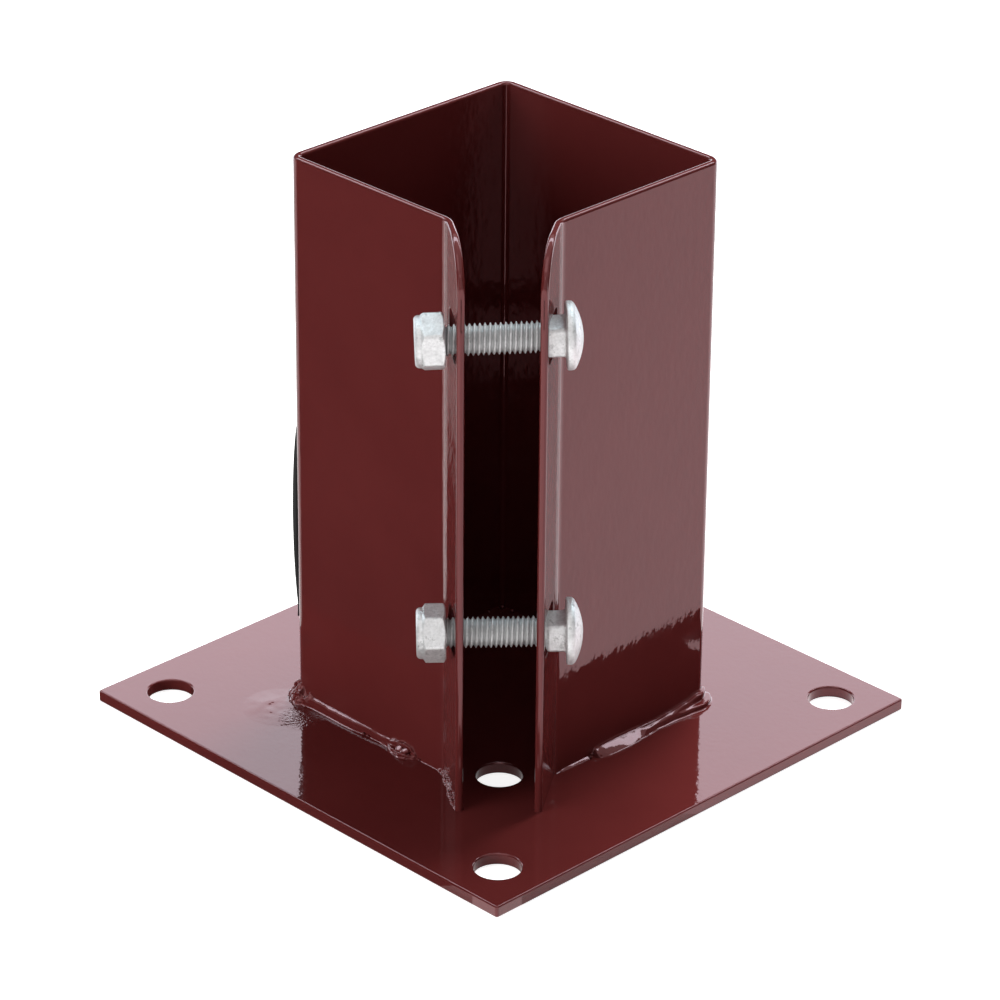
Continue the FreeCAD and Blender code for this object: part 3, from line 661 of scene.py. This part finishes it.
def bead_row(shape, s, wall_leg, plate_leg, rough, flat, hollow, seed):
    """One section of a bead at run s of the strip, with a small concave toe at each side.
    Roughness over 0.5 adds knobs, and the grain fades out towards the toes."""
    smooth_steps = 3
    place, _, outward, _ = strip_frame(s)
    out = socket_vector(outward)
    base = socket_point(place.x, place.y, 0)
    knobs = max(0.0, rough - 0.5)
    wall_leg *= 1 + 0.2 * rough * wobble(s, 0.23, seed) + 0.2 * knobs * wobble(s, 0.9, seed + 1)
    plate_leg *= 1 + 0.25 * rough * wobble(s, 0.21, seed + 2) + 0.2 * knobs * wobble(s, 0.8, seed + 3)
    wall_leg, plate_leg = max(0.02, wall_leg), max(0.02, plate_leg)
    toe = min(TOE_ROUND, 0.17 * (wall_leg + plate_leg))
    line = [Vector((-0.05, wall_leg + 1.6 * toe)), Vector((-0.01, wall_leg + toe)),
            Vector((0.05 * toe, wall_leg + 0.45 * toe))]
    line += bead_section(wall_leg, plate_leg, flat, hollow)
    line += [Vector((plate_leg + 0.45 * toe, 0.05 * toe)), Vector((plate_leg + toe, -0.01)),
             Vector((plate_leg + 1.6 * toe, -0.05))]
    row = []
    count = len(line)
    for index, (x, z) in enumerate(curve_through(line, smooth_steps)):
        share = min(1.0, max(0.0, (index / smooth_steps - 1.5) / (count - 4)))
        inner = math.sin(math.pi * share) ** 0.5
        way = Vector((max(0.05, x / max(plate_leg, 0.1)), max(0.05, z / max(wall_leg, 0.1)))).normalized()
        spot = base + out * x + UP * z
        grain = inner * (knobs * (0.3 * noise.noise(spot * 0.7) + 0.1 * noise.noise(spot * 1.7))
                         + 0.04 * rough * noise.noise(spot * 0.4))
        row.append(shape.add(base + out * (x + way.x * grain) + UP * (z + way.y * grain)))
    return row


def run_bead(shape, stations, seed, step=0.16):
    """A bead whose stations are (run, wall leg, plate leg, roughness, flatness, hollowness);
    the last two are 0 where they are left out."""
    stations = [(*station, 0.0, 0.0)[:6] for station in stations]
    start, end = stations[0][0], stations[-1][0]
    count = int((end - start) / step)
    rows = []
    for index in range(count + 1):
        s = start + (end - start) * index / count
        rows.append(bead_row(shape, s, *smooth_between(stations, s), seed))
    shape.grid(rows[::-1])


def mirrored(stations):
    """The same stations on the strip's other half."""
    return [(-s, *rest) for s, *rest in reversed(stations)]


def drop_of_metal(shape, place, radius, squash=0.8):
    """A small drop of spatter, half sunk in what it sits on."""
    bands, sides = 6, 12
    rows = []
    for band in range(1, bands + 1):
        rise = math.radians(90 - 20 * band)
        ring = []
        for i in range(sides):
            turn = math.tau * i / sides
            way = Vector((math.cos(turn) * math.cos(rise), math.sin(turn) * math.cos(rise),
                          math.sin(rise) * squash))
            ring.append(shape.add(place + way * radius * (1 + 0.3 * noise.noise(place * 3 + way * 1.3))))
        rows.append(ring)
    shape.grid(rows, closed=True)
    shape.faces.append(tuple(rows[0]))


def flake_of_metal(shape, place, radius, facing):
    """A small flat flake with a rounded rim, turned to face one way."""
    side = facing.cross(UP).normalized()
    other = facing.cross(side)
    sides = 14
    rows = []
    for share, height in ((0.5, 0.16), (0.8, 0.14), (1.0, 0.02), (1.05, -0.7)):
        ring = []
        for i in range(sides):
            turn = math.tau * i / sides
            way = side * math.cos(turn) + other * math.sin(turn)
            reach = radius * share * (1 + 0.45 * noise.noise(place + way * 1.4))
            ring.append(shape.add(place + way * reach + facing * radius * height))
        rows.append(ring)
    shape.grid(rows, closed=True)
    shape.faces.append(tuple(rows[0]))


def strip_spot(s, out, up):
    """A place beside the strip: run along it, distance out of its outer face, and height over the plate."""
    place, _, outward, _ = strip_frame(s)
    plan = place + outward * out
    return socket_point(plan.x, plan.y, up)


def make_front_left_weld(paint):
    """Runs from a knobbly start behind the left fold to a hollow crater, with crumbs under the ear."""
    shape = Shape()
    fold, wall = SIDE_FOLD_START, SIDE_FOLD_END
    run_bead(shape, [
        (fold - 3.4, 0.1, 0.1, 0.5), (fold - 1.6, 1.9, 1.4, 1.4), (fold + 0.6, 3.7, 2.3, 3.2),
        (fold + 3.0, 4.0, 3.0, 3.4, 0.0, 0.1), (fold + 5.0, 3.4, 2.5, 3.2), (wall + 1.6, 2.9, 1.9, 2.2),
        (wall + 4.5, 2.4, 1.6, 0.6), (wall + 8, 2.3, 1.6, 0.4), (wall + 14, 2.3, 1.7, 0.35),
        (wall + 20, 2.25, 1.6, 0.35), (wall + 26, 2.1, 1.1, 0.5), (wall + 30, 1.9, 1.0, 0.4),
        (wall + 33, 2.0, 1.3, 0.3, 0.1, 0.2), (wall + 36, 2.9, 2.4, 0.3, 0.2, 0.9),
        (wall + 39, 3.4, 2.9, 0.3, 0.2, 1.0), (wall + 41, 2.9, 2.4, 0.4, 0.1, 1.0),
        (wall + 42.4, 1.6, 1.2, 0.3, 0.0, 0.4), (wall + 43.2, 0.1, 0.1, 0.2)], 3)
    # Flakes that lie in the crater, tilted to the left, then crumbs in it and along the bead
    facing = (ACROSS * -0.40 + AWAY * -0.36 + UP * 0.84).normalized()
    for run, out, up, radius in ((37.8, 1.45, 1.5, 1.15), (39.9, 1.35, 1.75, 1.0), (39.1, 2.05, 1.05, 0.8)):
        flake_of_metal(shape, strip_spot(wall + run, out, up), radius, facing)
    for run, out, up, radius in ((40.6, 2.0, 0.9, 0.6), (38.6, 2.6, 0.6, 0.5), (40.9, 2.5, 0.5, 0.4),
                                 (40.1, 1.0, 1.6, 0.34), (41.2, 1.3, 1.0, 0.32), (24.5, 1.7, 0.5, 0.5),
                                 (26.0, 1.5, 0.45, 0.4), (44.1, 0.3, 0.35, 0.4)):
        drop_of_metal(shape, strip_spot(wall + run, out, up), radius, 0.5)
    # A thin rough line under the ear
    tip = STRIP_HALF
    run_bead(shape, [
        (EAR_FOLD_START - 1.4, 0.1, 0.1, 0.2), (EAR_FOLD_START + 0.2, 0.9, 0.8, 1.2),
        (EAR_FOLD_START + 1.8, 0.7, 0.7, 1.8), (tip - 7, 0.55, 0.6, 2.6), (tip - 3, 0.6, 0.55, 2.8),
        (tip - 0.8, 0.1, 0.1, 0.4)], 11, 0.1)
    dress(shape, "bead_front_left", "weld_front_left", paint)


def make_front_right_weld(paint):
    """Starts at a notch, broad and flat, and runs smooth and slim round the right fold."""
    shape = Shape()
    fold, wall = SIDE_FOLD_START, SIDE_FOLD_END
    stations = [
        (fold + 0.2, 0.1, 0.1, 0.2), (fold + 0.7, 2.6, 1.9, 0.3, 0.0, 0.5),
        (fold + 2.4, 3.6, 2.7, 0.3, 0.0, 0.75), (wall + 0.5, 3.6, 3.2, 0.3, 0.0, 0.7),
        (wall + 5, 2.6, 2.7, 0.25, 0.0, 0.25), (wall + 11, 2.0, 2.3, 0.2), (wall + 16, 1.6, 2.2, 0.25),
        (wall + 20.5, 1.7, 2.6, 0.3, 0.2), (wall + 23, 1.9, 3.2, 0.3, 0.9),
        (wall + 27, 2.1, 3.7, 0.4, 1.0), (wall + 31, 2.1, 3.7, 0.4, 1.0),
        (wall + 36, 2.0, 3.4, 0.4, 1.0), (wall + 38.4, 1.8, 2.6, 0.4, 0.6),
        (wall + 39.8, 0.1, 0.1, 0.2)]
    run_bead(shape, mirrored(stations), 5)
    # A slim line of paint from the notch to the ear
    foot = [
        (wall + 40.2, 0.1, 0.1, 0.1), (wall + 41, 0.55, 0.95, 0.3, 1.0),
        (wall + 47, 0.5, 0.85, 0.25, 1.0), (wall + 50.5, 0.35, 0.6, 0.2, 1.0),
        (wall + 51.5, 0.1, 0.1, 0.1)]
    run_bead(shape, mirrored(foot), 8)
    for run, out, up, radius in ((40.0, 0.5, 1.0, 0.4), (40.4, 0.9, 0.4, 0.34)):
        drop_of_metal(shape, strip_spot(-(wall + run), out, up), radius)
    dress(shape, "bead_front_right", "weld_front_right", paint)


def make_back_welds(paint):
    """A plain bead along the middle of each back wall."""
    middle = FOLD_OUTER * math.pi / 4 + (SOCKET_SIDE - 2 * FOLD_OUTER) / 2
    for side, wall in ((1, "back_left"), (-1, "back_right")):
        shape = Shape()
        stations = [
            (middle - 26.4, 0.1, 0.1, 0.3), (middle - 25, 2.2, 2.6, 1.0),
            (middle - 20, 2.4, 3.0, 0.5, 0.2), (middle + 4, 2.3, 2.8, 0.5, 0.1),
            (middle + 18, 2.5, 3.1, 0.5, 0.2), (middle + 24, 2.6, 2.9, 0.8, 0.0, 0.9),
            (middle + 26.4, 0.1, 0.1, 0.3)]
        run_bead(shape, stations if side > 0 else mirrored(stations), 20 + side, 0.22)
        dress(shape, "bead_" + wall, "weld_" + wall, paint)


def make_spatter(paint):
    """Drops of weld metal at the foot of the back corner inside the socket."""
    shape = Shape()
    inner_x, inner_y, _ = socket_point(0, SOCKET_SIDE * math.sqrt(0.5) - SHEET * math.sqrt(2), 0)
    for x, y, up, radius in ((1.0, -0.9, 0.3, 0.75), (4.4, -0.5, 0.4, 0.6), (0.5, -5.4, 0.3, 0.65),
                             (8.0, -1.2, 0.1, 0.3), (0.9, -9.0, 0.1, 0.3), (3.0, -3.2, 0.0, 0.32)):
        drop_of_metal(shape, Vector((inner_x + x, inner_y + y, PLATE_THICK + up)), radius)
    dress(shape, "weld_spatter_inside", None, paint)


def make_ear_drips(paint):
    """Paint that ran and set in long drops on the ears' edges, under their rounded corners."""
    shape = Shape()
    arc_foot = SOCKET_HEIGHT - EAR_CORNER
    long_steps, cross_steps = 20, 14
    for side, height, length, width in ((-1, 139.5, 6.9, 0.85), (1, 139.0, 7.6, 0.85)):
        rows = []
        for i in range(long_steps + 1):
            along = math.radians(90 - 180 * i / long_steps)
            y = height + length * math.sin(along)
            inset = EAR_CORNER - math.sqrt(EAR_CORNER ** 2 - max(0.0, y - arc_foot) ** 2)
            ring = []
            for j in range(cross_steps + 1):
                across = math.radians(-90 + 180 * j / cross_steps)
                reach = math.cos(along) ** 0.7 * math.cos(across)
                x = side * (STRIP_HALF - inset - DRIP_SUNK + DRIP_SWELL * reach)
                depth = -SHEET / 2 + width * math.cos(along) ** 0.7 * math.sin(across) * side
                ring.append(shape.add(bent_place(x, y, depth, Vector((side, 0, 0)))[0]))
            rows.append(ring)
        shape.grid(rows)
    dress(shape, "paint_drips", None, paint)


def make_paint_fillet(paint):
    """The paint fills the corner between the sheet's foot and the plate with a small round."""
    shape = Shape()
    radius = FILLET_RADIUS
    sunk = 0.01
    line = [(0.0, radius + FILLET_SKIRT)]
    line += arc_points((radius, radius), radius, 180, 270, FILLET_STEPS)
    line.append((radius + FILLET_SKIRT, 0.0))
    stops = [stop for stop in fold_stops() if abs(stop) < STRIP_HALF - 1]
    runs = sorted(set(stops + [-STRIP_HALF + 0.8, STRIP_HALF - 0.8]))
    for depth, way in ((0.0, 1), (-SHEET, -1)):
        rows = []
        # Outside, the ears' feet are sharp
        limit = EAR_FOLD_START + 1 if way > 0 else STRIP_HALF
        for s in [run for run in runs if abs(run) < limit]:
            place, _, outward, _ = strip_frame(s)
            out = socket_vector(outward) * way
            plan = place + outward * depth
            base = socket_point(plan.x, plan.y, 0)
            row = []
            for x, z in line:
                normal = out * (1 - min(1, x / radius)) + UP * (1 - min(1, z / radius)) + UP * 1e-3
                row.append(shape.add(base + out * (x - sunk) + UP * (z - sunk), normal))
            rows.append(row)
        shape.grid(rows[::-1] if way > 0 else rows)
    dress(shape, "foot_paint_fillet", None, paint)


def label_lift(u, v):
    """How far the film stands off the wall; u runs from its open edge, and v down from its top."""
    bulge = max(math.sin(math.pi * v) ** 0.55, 0.5 * v ** 4) if 0 < v < 1 else 0.5 * v
    return LABEL_GAP + LABEL_LIFT * bulge * (1 - u) ** 7


def make_label(film):
    """Blank film on the left back wall, whose edge at the left fold stands off it."""
    shape = Shape()
    low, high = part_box("label")
    wall_x, start_y, end_y = high.x / MM, low.y / MM, high.y / MM
    low_z, high_z = low.z / MM, high.z / MM
    rims = []
    for behind in (0.0, LABEL_THICK):
        rows = []
        for i in range(LABEL_ROWS + 1):
            v = i / LABEL_ROWS
            row = []
            for j in range(LABEL_COLUMNS + 1):
                u = j / LABEL_COLUMNS
                y = start_y + (end_y - start_y) * u - LABEL_SLIDE * (1 - u) ** 3
                row.append(shape.add((wall_x - label_lift(u, v) - behind, y, high_z + (low_z - high_z) * v)))
            rows.append(row)
        shape.grid(rows if behind else rows[::-1])
        down, back_up = [row[-1] for row in rows[1:]], [row[0] for row in rows[-2:0:-1]]
        rims.append(rows[0] + down + rows[-1][-2::-1] + back_up)
    shape.grid(rims, closed=True)
    dress(shape, "blank_label", "label", film)


# Materials

class Nodes:
    """A small helper to lay out and link the nodes of one new material, or of a world."""

    def __init__(self, name, owners=bpy.data.materials):
        self.owner = owners.new(name)
        self.owner.use_nodes = True
        self.tree = self.owner.node_tree
        self.tree.nodes.clear()

    def new(self, kind, inputs=None, **settings):
        node = self.tree.nodes.new(kind)
        for key, value in settings.items():
            setattr(node, key, value)
        for key, value in (inputs or {}).items():
            self.put(node.inputs[key], value)
        return node

    def put(self, socket, value):
        """Link another node's output to the socket, or set its plain value."""
        if isinstance(value, bpy.types.NodeSocket):
            self.tree.links.new(value, socket)
        else:
            socket.default_value = value

    def place(self):
        """The point's place on the object, in metres."""
        return self.new("ShaderNodeTexCoord").outputs["Object"]

    def noise(self, scale, detail, roughness, vector):
        node = self.new("ShaderNodeTexNoise", {"Scale": scale, "Detail": detail, "Roughness": roughness,
                                               "Vector": vector})
        return node.outputs["Fac"]

    def remap(self, value, low, high, to_low, to_high):
        return self.new("ShaderNodeMapRange", {"Value": value, "From Min": low, "From Max": high,
                                               "To Min": to_low, "To Max": to_high}).outputs["Result"]

    def math(self, operation, first, second):
        return self.new("ShaderNodeMath", {0: first, 1: second}, operation=operation).outputs[0]

    def blend(self, share, first, second):
        # Of a colour mix, inputs 6 and 7 and output 2 are the ones in use
        node = self.new("ShaderNodeMix", {"Factor": share}, data_type="RGBA")
        self.put(node.inputs[6], first)
        self.put(node.inputs[7], second)
        return node.outputs[2]

    def bump(self, height, distance, normal=None):
        """Height times distance in metres, on top of another bump where one is given."""
        inputs = {"Height": height, "Distance": distance}
        if normal is not None:
            inputs["Normal"] = normal
        return self.new("ShaderNodeBump", inputs).outputs["Normal"]

    def shade(self, **inputs):
        """End a material in a Principled shader, whose inputs are named with _ for a space."""
        shader = self.new("ShaderNodeBsdfPrincipled", {key.replace("_", " "): value
                                                       for key, value in inputs.items()})
        return self.surface(shader.outputs["BSDF"])

    def surface(self, shader):
        """End a material in this shader, and give the material."""
        self.new("ShaderNodeOutputMaterial", {"Surface": shader})
        return self.owner


def paint_material(name, peel, spots=()):
    """Gloss red-oxide powder coat with orange peel that hangs a little on the upright walls."""
    nodes = Nodes(name)
    place = nodes.place()
    shade = nodes.remap(nodes.noise(28, 3, 0.55, place), 0.3, 0.7, 0.0, 1.0)
    colour = nodes.blend(shade, PAINT_DARK, PAINT_LIGHT)
    rough = nodes.remap(nodes.noise(160, 3, 0.6, place), 0.3, 0.75, 0.035, 0.07)
    hanging = nodes.new("ShaderNodeMapping", {"Vector": place, "Scale": (1.0, 1.0, 0.55)}).outputs["Vector"]
    normal = nodes.bump(nodes.noise(110, 1.5, 0.4, place), 0.00005 * peel)
    normal = nodes.bump(nodes.noise(620, 1.5, 0.5, hanging), 0.000045 * peel, normal)
    normal = nodes.bump(nodes.noise(1500, 1, 0.5, place), 0.000002 * peel, normal)
    for x, y, reach, grain, swell in spots:
        away = nodes.new("ShaderNodeVectorMath", {0: place, 1: (x * MM, y * MM, PLATE_THICK * MM)},
                         operation="DISTANCE").outputs["Value"]
        near = nodes.remap(away, 0.35 * reach * MM, reach * MM, 1.0, 0.0)
        for rise, scale in ((grain, 1400), (swell, 170)):
            if rise:
                height = nodes.math("MULTIPLY", near, nodes.noise(scale, 1, 0.5, place))
                normal = nodes.bump(height, rise * MM, normal)
    return nodes.shade(Base_Color=colour, Roughness=rough, Normal=normal, IOR=1.55,
                       Specular_Tint=PAINT_SHEEN)


def zinc_material():
    """Bright zinc plate, mottled, with fine pits; shade is painted into the thread's grooves, the darker the
    deeper.
    """
    nodes = Nodes("zinc_mottled")
    place = nodes.place()
    cells = nodes.new("ShaderNodeTexVoronoi", {"Vector": place, "Scale": 1500.0, "Randomness": 1.0})
    cloud = nodes.remap(nodes.noise(420, 4, 0.6, place), 0.32, 0.68, 0.0, 1.0)
    grain = nodes.remap(cells.outputs["Distance"], 0.0, 0.9, 0.0, 1.0)
    mix = nodes.math("ADD", nodes.math("MULTIPLY", cloud, 0.6), nodes.math("MULTIPLY", grain, 0.4))
    bright = nodes.blend(mix, ZINC_DULL, ZINC_BRIGHT)
    stain = nodes.remap(nodes.noise(420, 5, 0.75, place), 0.55, 0.64, 0.0, 0.6)
    bright = nodes.blend(stain, bright, ZINC_STAIN)
    # Painted shade: the deeper a point lies in the thread, the darker
    painted_groove_shade = nodes.new("ShaderNodeAttribute", attribute_name=GROOVE_SHADE_ATTRIBUTE).outputs["Fac"]
    colour = nodes.blend(painted_groove_shade, bright, ZINC_GROOVE_SHADE)
    rough = nodes.remap(nodes.noise(700, 3, 0.6, place), 0.3, 0.7, 0.42, 0.58)
    pits = nodes.bump(nodes.noise(1100, 3, 0.6, place), 0.00015)
    dents = nodes.bump(nodes.noise(260, 2, 0.5, place), 0.0001, pits)
    return nodes.shade(Base_Color=colour, Metallic=0.65, Roughness=rough, Normal=dents)


def cloudy_plastic(name, dark, light, cloud_scale, grain_scale, roughness):
    """A plain plastic whose colour varies in clouds, with a faint grain."""
    nodes = Nodes(name)
    place = nodes.place()
    colour = nodes.blend(nodes.noise(cloud_scale, 2, 0.5, place), dark, light)
    grain = nodes.bump(nodes.noise(grain_scale, 2, 0.5, place), 0.00002)
    return nodes.shade(Base_Color=colour, Roughness=roughness, Normal=grain)


def nylon_material():
    return cloudy_plastic("nylon_natural", NYLON_DARK, NYLON_LIGHT, 300, 900, 0.5)


def film_material():
    return cloudy_plastic("film_black", FILM_DARK, FILM_LIGHT, 60, 200, 0.38)


# Stage, lights and camera

def plane(name, middle, across, up, width, height):
    """A flat card of the stage, of this width along one direction and this height along the other."""
    shape = Shape()
    for sx, sy in ((-1, -1), (1, -1), (1, 1), (-1, 1)):
        shape.add(middle + across * (sx * width / 2) + up * (sy * height / 2))
    shape.faces.append((0, 1, 2, 3))
    card = shape.piece(name)
    return card


def glow_material(name, strength, colour):
    nodes = Nodes(name)
    glow = nodes.new("ShaderNodeEmission", {"Color": colour, "Strength": strength})
    return nodes.surface(glow.outputs["Emission"])


def floor_material():
    """Pale floor; the camera, metal and glass see it brightened to the white of the backdrop."""
    nodes = Nodes("floor_pale")
    diffuse = nodes.new("ShaderNodeBsdfDiffuse", {"Color": FLOOR_PALE})
    rays = nodes.new("ShaderNodeLightPath")
    direct = nodes.math("MAXIMUM", rays.outputs["Is Camera Ray"], rays.outputs["Is Transmission Ray"])
    seen = nodes.math("ADD", nodes.math("MULTIPLY", direct, FLOOR_GLOW),
                      nodes.math("MULTIPLY", rays.outputs["Is Glossy Ray"], FLOOR_SHEEN))
    glow = nodes.new("ShaderNodeEmission", {"Color": WHITE, "Strength": seen})
    both = nodes.new("ShaderNodeAddShader", {0: diffuse.outputs["BSDF"], 1: glow.outputs["Emission"]})
    return nodes.surface(both.outputs["Shader"])


def studio_world():
    """An even world: white to the camera, in gloss and through glass, and a plain fill light otherwise."""
    nodes = Nodes("studio", bpy.data.worlds)
    rays = nodes.new("ShaderNodeLightPath")
    seen = nodes.math("MAXIMUM", rays.outputs["Is Camera Ray"], rays.outputs["Is Glossy Ray"])
    seen = nodes.math("MAXIMUM", seen, rays.outputs["Is Transmission Ray"])
    strength = nodes.remap(seen, 0.0, 1.0, WORLD_LIGHT, 1.0)
    background = nodes.new("ShaderNodeBackground", {"Color": WHITE, "Strength": strength})
    nodes.new("ShaderNodeOutputWorld", {"Surface": background.outputs["Background"]})
    return nodes.owner


def make_stage():
    """The pale floor, just under the plate, and the world."""
    floor = plane("floor", UP * -FLOOR_DROP, ACROSS, AWAY, FLOOR_SIDE, FLOOR_SIDE)
    floor.data.materials.append(floor_material())
    bpy.context.scene.world = studio_world()


def reflector(name, middle, across, up, width, height, strength, colour=WHITE):
    """A studio card that only glossy surfaces see."""
    card = plane(name, middle, across, up, width, height)
    card.data.materials.append(glow_material(name + "_glow", strength, colour))
    for rays in ("camera", "diffuse", "shadow", "transmission", "volume_scatter"):
        setattr(card, "visible_" + rays, False)


def soft_lamp(name, place, width, height, power):
    """An area lamp turned to the object. It lights surfaces, and no gloss shows it."""
    lamp = bpy.data.lights.new(name, "AREA")
    lamp.shape = "RECTANGLE"
    lamp.size = width * MM
    lamp.size_y = height * MM
    lamp.energy = power
    holder = add_object(name, lamp)
    holder.location = place * MM
    holder.rotation_euler = (LAMP_TARGET - place).to_track_quat("-Z", "Y").to_euler()
    holder.visible_glossy = False


def make_lights():
    """Two lamps, and the cards that the gloss reflects, each with its place, directions and size."""
    # A low key from the left, so that the socket's inside stays dark, and a lamp high behind for the plate
    soft_lamp("lamp_key", ACROSS * -800 + AWAY * -560 + UP * 340, 600, 500, 6.0)
    soft_lamp("lamp_over", ACROSS * 420 + AWAY * 650 + UP * 900, 700, 700, 22.0)
    # Bright backdrop behind the object for the plate, dark above it for the rim, and a soft box overhead
    reflector("card_backdrop", AWAY * 330 + UP * 125, ACROSS, UP, 2400, 250, 3.4, BACKDROP_COLOUR)
    reflector("card_dark_high", AWAY * 332 + UP * 350, ACROSS, UP, 2400, 200, 0.1)
    reflector("card_overhead", AWAY * 500 + UP * 1000, ACROSS, AWAY, 2200, 260, 8.0, OVERHEAD_COLOUR)
    # High in front and right above for the ears' rounded corners and the zinc's tops, and low in front
    # for the zinc and the ears' edges
    reflector("card_front_high", ACROSS * -300 + AWAY * -500 + UP * 866, ACROSS, AWAY * 0.866 + UP * 0.5,
              700, 550, 2.6)
    reflector("card_top", AWAY * 75 + UP * 1000, ACROSS, AWAY, 220, 560, 1.2)
    reflector("card_front_floor", ACROSS * -400 + AWAY * -400 + UP * 0.1, ACROSS, AWAY, 1300, 600, 2.3)
    # Dark on the left for the left wall; the bare floor behind it lights the left ear
    slant = math.radians(DARK_FLOOR_SLANT)
    reflector("card_dark_left", ACROSS * -700 + AWAY * -330 + UP * 300, AWAY, UP, 760, 600, 0.03)
    along = ACROSS * math.cos(slant) - AWAY * math.sin(slant)
    back = ACROSS * math.sin(slant) + AWAY * math.cos(slant)
    reflector("card_dark_floor", ACROSS * -360 + AWAY * -30 + UP * 0.5, along, back, 700, 130, 0.03)
    # Bright floor on the right for the right wall, and dark above it for the plate's reflection in that wall
    reflector("card_bright_floor", ACROSS * 380 + AWAY * -60 + UP * 0.5, ACROSS, AWAY, 660, 560, 2.0,
              BRIGHT_FLOOR_COLOUR)
    reflector("card_dark_right", ACROSS * 720 + AWAY * -60 + UP * 330, AWAY, UP, 760, 650, 0.1)


def make_camera():
    """The photograph's viewpoint; back points from the target to the camera."""
    azimuth, elevation = math.radians(CAMERA_AZIMUTH), math.radians(CAMERA_ELEVATION)
    level = ACROSS * math.sin(azimuth) - AWAY * math.cos(azimuth)
    back = level * math.cos(elevation) + UP * math.sin(elevation)
    right = ACROSS * math.cos(azimuth) + AWAY * math.sin(azimuth)
    axes = Matrix((right, back.cross(right), back)).transposed().to_4x4()
    place = Matrix.Translation((CAMERA_TARGET + back * CAMERA_DISTANCE) * MM)
    camera = bpy.data.cameras.new("camera")
    camera.sensor_width = CAMERA_SENSOR
    camera.lens = CAMERA_LENS
    camera.clip_start = 0.01
    camera.clip_end = 20.0
    holder = add_object("camera", camera)
    holder.matrix_world = place @ axes @ turned(CAMERA_ROLL, "Z")
    bpy.context.scene.camera = holder
    bpy.context.scene.view_settings.view_transform = "Standard"


def main():
    sheet_paint = paint_material("oxide_paint_gloss", 1.0)
    plate_paint = paint_material("oxide_paint_plate", 0.5, ROUGH_SPOTS)
    weld_paint = paint_material("oxide_paint_weld", 0.5)
    zinc = zinc_material()
    nylon = nylon_material()
    make_base_plate(plate_paint)
    make_socket(sheet_paint)
    make_paint_fillet(sheet_paint)
    make_front_left_weld(weld_paint)
    make_front_right_weld(weld_paint)
    make_back_welds(weld_paint)
    make_spatter(weld_paint)
    make_ear_drips(weld_paint)
    for level in FASTENERS:
        make_fasteners(level, zinc)
        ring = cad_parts["lock_ring_" + level]
        ring.data.materials.clear()
        ring.data.materials.append(nylon)
    make_label(film_material())
    make_stage()
    make_lights()
    make_camera()


main()
